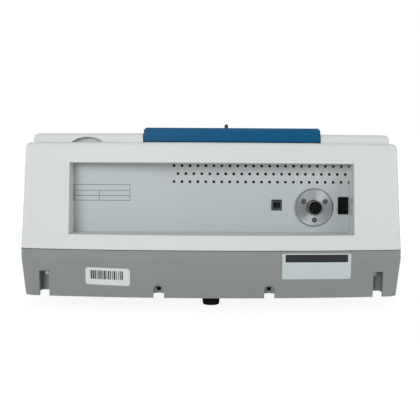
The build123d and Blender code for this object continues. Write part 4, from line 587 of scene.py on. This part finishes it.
# Bars on the sticker: thin blocks of uneven width, strung out by a node tree
def makeBarTree():
    tree, start, end = newGeometryTree("stickerBars", [
        ("Count", "NodeSocketInt", 17), ("Pitch", "NodeSocketFloat", 0.001),
        ("Height", "NodeSocketFloat", 0.01), ("Thin", "NodeSocketFloat", 0.0003),
        ("Wide", "NodeSocketFloat", 0.0007), ("Thickness", "NodeSocketFloat", 0.00005),
        ("Seed", "NodeSocketInt", 7)])
    step = addNode(tree, "ShaderNodeCombineXYZ", (-4, 1), {"X": start.outputs["Pitch"]})
    line = addNode(tree, "GeometryNodeMeshLine", (-3, 1),
                   {"Count": start.outputs["Count"], "Offset": step.outputs[0]})
    block = addNode(tree, "GeometryNodeMeshCube", (-3, -1), {"Size": (1, 1, 1)})
    width = addNode(tree, "FunctionNodeRandomValue", (-3, -2), data_type="FLOAT")
    tree.links.new(start.outputs["Thin"], width.inputs[2])
    tree.links.new(start.outputs["Wide"], width.inputs[3])
    tree.links.new(start.outputs["Seed"], width.inputs["Seed"])
    size = addNode(tree, "ShaderNodeCombineXYZ", (-1, -2),
                   {"X": width.outputs[1], "Y": start.outputs["Thickness"], "Z": start.outputs["Height"]})
    bars = addNode(tree, "GeometryNodeInstanceOnPoints", (1, 0),
                   {"Points": line.outputs["Mesh"], "Instance": block.outputs["Mesh"],
                    "Scale": size.outputs[0]})
    endTree(tree, end, bars.outputs[0], "inkDark")
    return tree


barLook = {"left": 145.4 * mm, "right": 107.8 * mm, "low": 39.6 * mm, "high": 50.2 * mm, "count": 17,
           "thin": 0.7 * mm, "wide": 2.1 * mm, "thickness": 0.04 * mm, "slantSpan": 54 * mm, "seed": 7}
barPitch = (barLook["left"] - barLook["right"]) / (barLook["count"] - 1)
barMesh = runTree(makeBarTree(), bpy.data.meshes.new("barStart"), "stickerBars",
                  {"Count": barLook["count"], "Pitch": barPitch, "Height": barLook["high"] - barLook["low"],
                   "Thin": barLook["thin"], "Wide": barLook["wide"], "Thickness": barLook["thickness"],
                   "Seed": barLook["seed"]})
for vertex in barMesh.vertices:
    run = stickerLook["left"] - barLook["right"] - vertex.co.x
    slant = stickerLook["slant"] * run / barLook["slantSpan"]
    vertex.co.x += barLook["right"]
    vertex.co.y += barLook["thickness"] / 2
    vertex.co.z += (barLook["low"] + barLook["high"]) / 2 - slant
drapeOnRear(barMesh, baseRear, sheetLift + stickerLook["thick"])
addPiece("stickerBars", barMesh, "inkDark", "instrument")
print("plate, sticker and its bars laid on the base")

# Ruled lines printed on the film: an empty table of three rows, the lower two split in two
tableLook = {"left": 173.4 * mm, "right": 103.1 * mm, "split": 142.0 * mm, "line": 0.55 * mm,
             "rows": (152.8 * mm, 145.6 * mm, 139.1 * mm, 133.1 * mm), "thick": 0.03 * mm,
             "gap": 0.01 * mm, "lift": 0.005 * mm, "shift": -0.9 * mm}
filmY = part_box("rear_film")[1][1]


def tableBoxes():
    left, right, split, rows = (tableLook[key] for key in ("left", "right", "split", "rows"))
    half = tableLook["line"] / 2
    boxes = [(right, left, z - half, z + half) for z in rows]
    ends = []
    for above, below in zip(rows, rows[1:]):
        ends.append((below + half + tableLook["gap"], above - half - tableLook["gap"]))
    boxes += [(x - half, x + half, low, high) for x in (left - half, right + half) for low, high in ends]
    boxes += [(split - half, split + half, low, high) for low, high in ends[1:]]
    return boxes


tableMesh = boxesMesh("filmTable", tableBoxes(), tableLook["thick"])
tableMesh.transform(Matrix.Translation((tableLook["shift"], filmY + tableLook["lift"], 0)))
addPiece("filmTable", tableMesh, "inkDark", "instrument")

# On and off marks on the return wall beside the switch
markLook = {"y": 145.0 * mm, "onZ": 121.6 * mm, "offZ": 134.4 * mm, "size": 5.6 * mm,
            "stroke": 1.2 * mm, "barFactor": 1.2, "thick": 0.04 * mm, "rayX": -160 * mm}
coverSurface = surfaceOf("top_cover")


def wallPoint(y, z, lift):
    hit = coverSurface.ray_cast(Vector((markLook["rayX"], y, z)), Vector((-1, 0, 0)))[0]
    return hit + Vector((1, 0, 0)) * lift


def ringMark(radius, stroke, steps=40):
    # an upright ring as a strip of faces, in y and z
    work = bmesh.new()
    inner, outer = [], []
    for i in range(steps):
        turn = 2 * math.pi * i / steps
        for ring, r in ((inner, radius - stroke), (outer, radius)):
            ring.append(work.verts.new((0, math.cos(turn) * r, math.sin(turn) * r)))
    for i in range(steps):
        j = (i + 1) % steps
        work.faces.new((inner[i], outer[i], outer[j], inner[j]))
    return work


def strokeMark(height, stroke):
    work = bmesh.new()
    y, z = stroke / 2, height / 2
    work.faces.new([work.verts.new((0, *corner)) for corner in ((-y, -z), (y, -z), (y, z), (-y, z))])
    return work


def wallMark(name, work, z):
    # a flat mark laid on the wall and given its thickness
    for vertex in work.verts:
        vertex.co = wallPoint(markLook["y"] + vertex.co.y, z + vertex.co.z, sheetLift)
    grown = bmesh.ops.extrude_face_region(work, geom=work.faces[:])
    top = [item for item in grown["geom"] if isinstance(item, bmesh.types.BMVert)]
    bmesh.ops.translate(work, verts=top, vec=(markLook["thick"], 0, 0))
    addPiece(name, outwardMesh(work, name), "inkDark", "instrument")


wallMark("offMark", ringMark(markLook["size"] / 2, markLook["stroke"]), markLook["offZ"])
wallMark("onMark", strokeMark(markLook["size"], markLook["stroke"] * markLook["barFactor"]), markLook["onZ"])
print("table on the film and switch marks done")


# Threaded ring of the power socket: a turned core with a helical crest from a node tree. Its nickel is
# darkened as painted shade for the shade between the thread's turns.
ringLook = {"outer": 9.5 * mm, "core": 8.95 * mm, "bore": 7.75 * mm, "neck": 8.45 * mm,
            "threadStart": 132.8 * mm, "edge": 0.5 * mm, "lip": 0.25 * mm, "pitch": 1.25 * mm,
            "crest": 0.62 * mm, "steps": 96, "sharp": 35}
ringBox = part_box("power_ring")
ringBack, ringFront = ringBox[0][1], ringBox[1][1]
ringCentre = boxMiddle(ringBox) * Vector((1, 0, 1))


def latheMesh(name, profile, centre, steps):
    # a closed profile of (radius, y) turned about the y axis through the centre
    work = bmesh.new()
    rings = []
    for i in range(steps):
        turn = 2 * math.pi * i / steps
        rings.append([work.verts.new((centre.x + r * math.cos(turn), y, centre.z + r * math.sin(turn)))
                      for r, y in profile])
    count = len(profile)
    for i in range(steps):
        a, b = rings[i], rings[(i + 1) % steps]
        for j in range(count):
            k = (j + 1) % count
            work.faces.new((a[j], a[k], b[k], b[j]))
    return outwardMesh(work, name)


def ringProfile():
    bore, neck, core = ringLook["bore"], ringLook["neck"], ringLook["core"]
    edge, lip, thread = ringLook["edge"], ringLook["lip"], ringLook["threadStart"]
    return [(bore, ringBack), (neck, ringBack), (neck, thread), (core, thread), (core, ringFront - edge),
            (core - edge, ringFront), (bore + lip, ringFront), (bore, ringFront - lip)]


coreMesh = latheMesh("powerRingCore", ringProfile(), ringCentre, ringLook["steps"])
coreMesh.shade_smooth()
coreMesh.set_sharp_from_angle(angle=math.radians(ringLook["sharp"]))
ringCore = addPiece("powerRingCore", coreMesh, "nickelWithPaintedShade", "instrument")
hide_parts("power_ring")


def makeThreadTree():
    tree, start, end = newGeometryTree("threadCrest", [
        ("Turns", "NodeSocketFloat", 6.0), ("Radius", "NodeSocketFloat", 0.009),
        ("Rise", "NodeSocketFloat", 0.007), ("Crest", "NodeSocketFloat", 0.0006)])
    helix = addNode(tree, "GeometryNodeCurveSpiral", (-3, 1),
                    {"Resolution": 48, "Rotations": start.outputs["Turns"],
                     "Start Radius": start.outputs["Radius"], "End Radius": start.outputs["Radius"],
                     "Height": start.outputs["Rise"]})
    profile = addNode(tree, "GeometryNodeCurvePrimitiveCircle", (-3, -1),
                      {"Resolution": 4, "Radius": start.outputs["Crest"]}, mode="RADIUS")
    crest = addNode(tree, "GeometryNodeCurveToMesh", (0, 0),
                    {"Curve": helix.outputs[0], "Profile Curve": profile.outputs[0], "Fill Caps": True})
    endTree(tree, end, crest.outputs[0], "nickelWithPaintedShade")
    return tree


threadRise = ringFront - ringLook["edge"] - ringLook["threadStart"] - 2 * ringLook["crest"]
threadBase = ringCentre + Vector((0, ringLook["threadStart"] + ringLook["crest"], 0))
threadMesh = runTree(makeThreadTree(), bpy.data.meshes.new("threadStart"), "powerRingThread",
                     {"Turns": threadRise / ringLook["pitch"],
                      "Radius": ringLook["outer"] - ringLook["crest"],
                      "Rise": threadRise, "Crest": ringLook["crest"]})
threadMesh.transform(Matrix.Translation(threadBase) @ Matrix.Rotation(math.radians(-90), 4, "X"))
threadPiece = addPiece("powerRingThread", threadMesh, "nickelWithPaintedShade", "instrument")
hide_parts("power_ring")
print("threaded ring made")


# Painted shade round the three flange screws: a dark ring on every screw head stands in for the shadow in its
# countersink
def islandCentres(mesh):
    # the middle of each loose part's outer end, from the lowest x upwards
    work = bmesh.new()
    work.from_mesh(mesh)
    bmesh.ops.remove_doubles(work, verts=work.verts, dist=weldDistance)
    left, centres = set(work.verts), []
    while left:
        island, front = [], [left.pop()]
        while front:
            vertex = front.pop()
            island.append(vertex.co.copy())
            for edge in vertex.link_edges:
                other = edge.other_vert(vertex)
                if other in left:
                    left.discard(other)
                    front.append(other)
        low = Vector([min(p[i] for p in island) for i in range(3)])
        high = Vector([max(p[i] for p in island) for i in range(3)])
        centres.append(Vector(((low.x + high.x) / 2, high.y, (low.z + high.z) / 2)))
    work.free()
    return sorted(centres, key=lambda centre: (centre.x, centre.z))


rimShadeLook = {"radius": 2.3 * mm, "tube": 0.6 * mm, "sink": 0.4 * mm}


def makeRimShadeTree():
    tree, start, end = newGeometryTree("screwRimShade", [
        ("Radius", "NodeSocketFloat", 0.002), ("Tube", "NodeSocketFloat", 0.0004)])
    ring = addNode(tree, "GeometryNodeCurvePrimitiveCircle", (-3, 1),
                   {"Resolution": 36, "Radius": start.outputs["Radius"]}, mode="RADIUS")
    profile = addNode(tree, "GeometryNodeCurvePrimitiveCircle", (-3, -1),
                      {"Resolution": 10, "Radius": start.outputs["Tube"]}, mode="RADIUS")
    tube = addNode(tree, "GeometryNodeCurveToMesh", (-1, 0),
                   {"Curve": ring.outputs[0], "Profile Curve": profile.outputs[0]})
    rims = addNode(tree, "GeometryNodeInstanceOnPoints", (1, 0),
                   {"Points": start.outputs["Geometry"], "Instance": tube.outputs[0],
                    "Rotation": (math.radians(90), 0, 0)})
    endTree(tree, end, rims.outputs[0], "socketDarkAndRimShade")
    return tree


rimSink = Vector((0, rimShadeLook["sink"], 0))
screwEnds = islandCentres(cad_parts["flange_screws"].data)
rimPoints = bpy.data.meshes.new("rimPoints")
rimPoints.from_pydata([tuple(end - rimSink) for end in screwEnds], [], [])
# the dark rings are painted shade laid round each screw head, not a part of the screws
rimShadeMesh = runTree(makeRimShadeTree(), rimPoints, "flangeScrewRimShade",
                  {"Radius": rimShadeLook["radius"], "Tube": rimShadeLook["tube"]})
rimShadeMesh.shade_smooth()
addPiece("flangeScrewRimShade", rimShadeMesh, "socketDarkAndRimShade", "instrument")
print("rims on", len(rimPoints.vertices), "flange screws")


# The perforated panel, its vent holes opened to the width that the photograph shows
ventLook = {"radius": 1.78 * mm, "punched": 1.5 * mm, "reach": 1.04, "pitch": 10.0 * mm,
            "first": -172.6 * mm, "nearby": 3 * mm,
            "rows": ((23, 0.0, 177.0 * mm), (22, 5.0 * mm, 167.0 * mm), (23, 0.0, 157.0 * mm))}


def makeVentTree():
    # each vertex on a hole's edge moves outward from the nearest hole centre, on every repeat of the
    # field; a row has its number of holes, its shift along x and its height
    tree, start, end = newGeometryTree("ventField", [
        ("Radius", "NodeSocketFloat", 0.00178), ("Punched", "NodeSocketFloat", 0.0015),
        ("Reach", "NodeSocketFloat", 1.04), ("Pitch", "NodeSocketFloat", 0.01),
        ("First", "NodeSocketFloat", 0.0), ("Middle", "NodeSocketFloat", 0.128)])
    step = addNode(tree, "ShaderNodeCombineXYZ", (-5, 2), {"X": start.outputs["Pitch"]})
    field = addNode(tree, "GeometryNodeJoinGeometry", (-2, 2))
    for i, (columns, shift, z) in enumerate(ventLook["rows"]):
        x = addNode(tree, "ShaderNodeMath", (-5, 3 + i), {0: start.outputs["First"], 1: shift},
                    operation="ADD")
        place = addNode(tree, "ShaderNodeCombineXYZ", (-4, 3 + i),
                        {"X": x.outputs[0], "Y": start.outputs["Middle"], "Z": z})
        row = addNode(tree, "GeometryNodeMeshLine", (-3, 3 + i),
                      {"Count": columns, "Start Location": place.outputs[0], "Offset": step.outputs[0]})
        tree.links.new(row.outputs["Mesh"], field.inputs[0])
    near = addNode(tree, "GeometryNodeProximity", (-1, 2), target_element="POINTS")
    tree.links.new(field.outputs[0], near.inputs[0])
    here = addNode(tree, "GeometryNodeInputPosition", (-2, -1))
    away = addNode(tree, "ShaderNodeVectorMath", (0, 1),
                   {0: here.outputs[0], 1: near.outputs["Position"]}, operation="SUBTRACT")
    flat = addNode(tree, "ShaderNodeVectorMath", (1, 1), {0: away.outputs[0], 1: (1, 0, 1)},
                   operation="MULTIPLY")
    length = addNode(tree, "ShaderNodeVectorMath", (2, 1), {0: flat.outputs[0]}, operation="LENGTH")
    limit = addNode(tree, "ShaderNodeMath", (2, 2),
                    {0: start.outputs["Punched"], 1: start.outputs["Reach"]}, operation="MULTIPLY")
    onEdge = addNode(tree, "ShaderNodeMath", (3, 1), {0: length.outputs["Value"], 1: limit.outputs[0]},
                     operation="LESS_THAN")
    grow = addNode(tree, "ShaderNodeMath", (2, -1),
                   {0: start.outputs["Radius"], 1: start.outputs["Punched"]}, operation="SUBTRACT")
    unit = addNode(tree, "ShaderNodeVectorMath", (2, 0), {0: flat.outputs[0]}, operation="NORMALIZE")
    push = addNode(tree, "ShaderNodeVectorMath", (3, 0), {0: unit.outputs[0], "Scale": grow.outputs[0]},
                   operation="SCALE")
    moved = addNode(tree, "GeometryNodeSetPosition", (4, 0),
                    {"Geometry": start.outputs["Geometry"], "Selection": onEdge.outputs[0],
                     "Offset": push.outputs[0]})
    endTree(tree, end, moved.outputs[0], "panelPaint")
    return tree


def mergedCopy(nodeName):
    work = bmesh.new()
    work.from_mesh(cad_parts[nodeName].data)
    bmesh.ops.remove_doubles(work, verts=work.verts, dist=weldDistance)
    return meshFrom(work, nodeName + "Copy")


def firstHoleRadius(mesh):
    top = ventLook["rows"][0][2]
    spans = [math.hypot(v.co.x - ventLook["first"], v.co.z - top) for v in mesh.vertices]
    return max((span for span in spans if span < ventLook["nearby"]), default=0.0)


ventMesh = runTree(makeVentTree(), mergedCopy("rear_panel"), "ventedPanel",
                   {"Radius": ventLook["radius"], "Punched": ventLook["punched"], "Reach": ventLook["reach"],
                    "Pitch": ventLook["pitch"], "First": ventLook["first"],
                    "Middle": boxMiddle(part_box("rear_panel")).y})
ventMesh.shade_flat()
ventPiece = addPiece("ventedPanel", ventMesh, "panelPaint", "instrument")
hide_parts("rear_panel")
print("vented panel made, first hole's radius", round(firstHoleRadius(ventMesh) / mm, 3), "mm")


# Stage, light and camera

stageLook = {"half": 6.0, "floor": (0.8, 0.8, 0.8, 1), "share": 0.8, "near": 0.5, "far": 1.4, "white": 1.14,
             "room": 0.26}
pureWhite = (1, 1, 1, 1)


def makeStage():
    # a pale floor that takes the object's shadow and fades to white further out
    mesh = bpy.data.meshes.new("tableTop")
    half = stageLook["half"]
    corners = [(-half, -half, 0), (half, -half, 0), (half, half, 0), (-half, half, 0)]
    mesh.from_pydata(corners, [], [(0, 1, 2, 3)])
    floor = bpy.data.objects.new("tableTop", mesh)
    bpy.context.scene.collection.objects.link(floor)
    material = bpy.data.materials.new("tableWhite")
    material.use_nodes = True
    tree = material.node_tree
    tree.nodes.clear()
    lit = addNode(tree, "ShaderNodeBsdfDiffuse", (0, 0), {"Color": stageLook["floor"]})
    white = addNode(tree, "ShaderNodeEmission", (0, -1),
                    {"Color": pureWhite, "Strength": stageLook["white"]})
    path = addNode(tree, "ShaderNodeLightPath", (-2, 1))
    reach = addNode(tree, "ShaderNodeVectorMath", (-3, 2), {0: objectPoint(tree, (-4, 2))},
                    operation="LENGTH")
    share = addNode(tree, "ShaderNodeMapRange", (-2, 2),
                    {"Value": reach.outputs["Value"], "From Min": stageLook["near"],
                     "From Max": stageLook["far"], "To Min": stageLook["share"], "To Max": 1.0})
    seen = addNode(tree, "ShaderNodeMath", (-1, 1), {0: path.outputs["Is Camera Ray"], 1: share.outputs[0]},
                   operation="MULTIPLY")
    mix = addNode(tree, "ShaderNodeMixShader", (2, 0), {0: seen.outputs[0]})
    tree.links.new(lit.outputs[0], mix.inputs[1])
    tree.links.new(white.outputs[0], mix.inputs[2])
    output = addNode(tree, "ShaderNodeOutputMaterial", (4, 0))
    tree.links.new(mix.outputs[0], output.inputs["Surface"])
    mesh.materials.append(material)


def makeWorld():
    world = bpy.data.worlds.new("softRoom")
    bpy.context.scene.world = world
    world.use_nodes = True
    tree = world.node_tree
    tree.nodes.clear()
    room = addNode(tree, "ShaderNodeBackground", (0, 0),
                   {"Color": pureWhite, "Strength": stageLook["room"]})
    white = addNode(tree, "ShaderNodeBackground", (0, -1), {"Color": pureWhite, "Strength": 1.0})
    path = addNode(tree, "ShaderNodeLightPath", (-3, 1))
    camera = addNode(tree, "ShaderNodeMath", (-1, 1),
                     {0: path.outputs["Is Camera Ray"], 1: path.outputs["Is Transmission Ray"]},
                     operation="MAXIMUM")
    mix = addNode(tree, "ShaderNodeMixShader", (2, 0), {0: camera.outputs[0]})
    tree.links.new(room.outputs[0], mix.inputs[1])
    tree.links.new(white.outputs[0], mix.inputs[2])
    output = addNode(tree, "ShaderNodeOutputWorld", (4, 0))
    tree.links.new(mix.outputs[0], output.inputs["Surface"])


def addSoftbox(name, power, size, place, aim):
    lamp = bpy.data.lights.new(name, "AREA")
    lamp.shape = "RECTANGLE"
    lamp.size, lamp.size_y = size
    lamp.energy = power
    holder = bpy.data.objects.new(name, lamp)
    holder.location = place
    holder.rotation_euler = (Vector(aim) - Vector(place)).to_track_quat("-Z", "Y").to_euler()
    bpy.context.scene.collection.objects.link(holder)


softboxes = [
    ("keyBox", 22.0, (0.9, 0.8), (0.8, 2.2, 0.65), (0, 0.1, 0.1)),
    ("fillBox", 10.0, (1.0, 0.9), (-1.5, 1.6, 0.7), (0, 0.1, 0.1)),
    ("frontBox", 9.0, (1.6, 1.2), (0.2, -1.6, 1.6), (0, 0, 0.1)),
    ("topBox", 6.0, (1.6, 0.5), (0, 0.1, 2.2), (0, 0.05, 0.1)),
    ("lowFrontBox", 15.0, (1.2, 0.8), (-0.3, -2.1, 0.5), (0, 0, 0.1)),
    ("leftSideBox", 11.0, (0.8, 0.8), (2.2, -0.3, 0.6), (0, 0, 0.1)),
    ("rightSideBox", 11.0, (0.8, 0.8), (-2.2, -0.3, 0.6), (0, 0, 0.1)),
]
makeStage()
makeWorld()
for softbox in softboxes:
    addSoftbox(*softbox)

# Camera behind the instrument, as in the photograph
cameraLook = {"place": (8.9 * mm, 1027.4 * mm, 168.7 * mm), "yaw": -0.0077, "pitch": -0.05246,
              "roll": 0.00547, "focalPixels": 715.4, "framePixels": 420.0, "sensor": 36.0,
              "clip": (0.01, 50.0)}


def makeCamera():
    yaw, pitch, roll = cameraLook["yaw"], cameraLook["pitch"], cameraLook["roll"]
    forward = Vector((math.sin(yaw) * math.cos(pitch), -math.cos(yaw) * math.cos(pitch), math.sin(pitch)))
    right = forward.cross(Vector((0, 0, 1))).normalized()
    up = right.cross(forward)
    rolledRight = right * math.cos(roll) + up * math.sin(roll)
    rolledUp = up * math.cos(roll) - right * math.sin(roll)
    lens = bpy.data.cameras.new("photoCamera")
    lens.sensor_width = cameraLook["sensor"]
    lens.lens = cameraLook["sensor"] * cameraLook["focalPixels"] / cameraLook["framePixels"]
    lens.clip_start, lens.clip_end = cameraLook["clip"]
    holder = bpy.data.objects.new("photoCamera", lens)
    axes = Matrix((rolledRight, rolledUp, -forward)).transposed().to_4x4()
    holder.matrix_world = Matrix.Translation(Vector(cameraLook["place"])) @ axes
    bpy.context.scene.collection.objects.link(holder)
    bpy.context.scene.camera = holder


makeCamera()
bpy.context.scene.view_settings.view_transform = "Standard"
print("stage, light and camera ready")
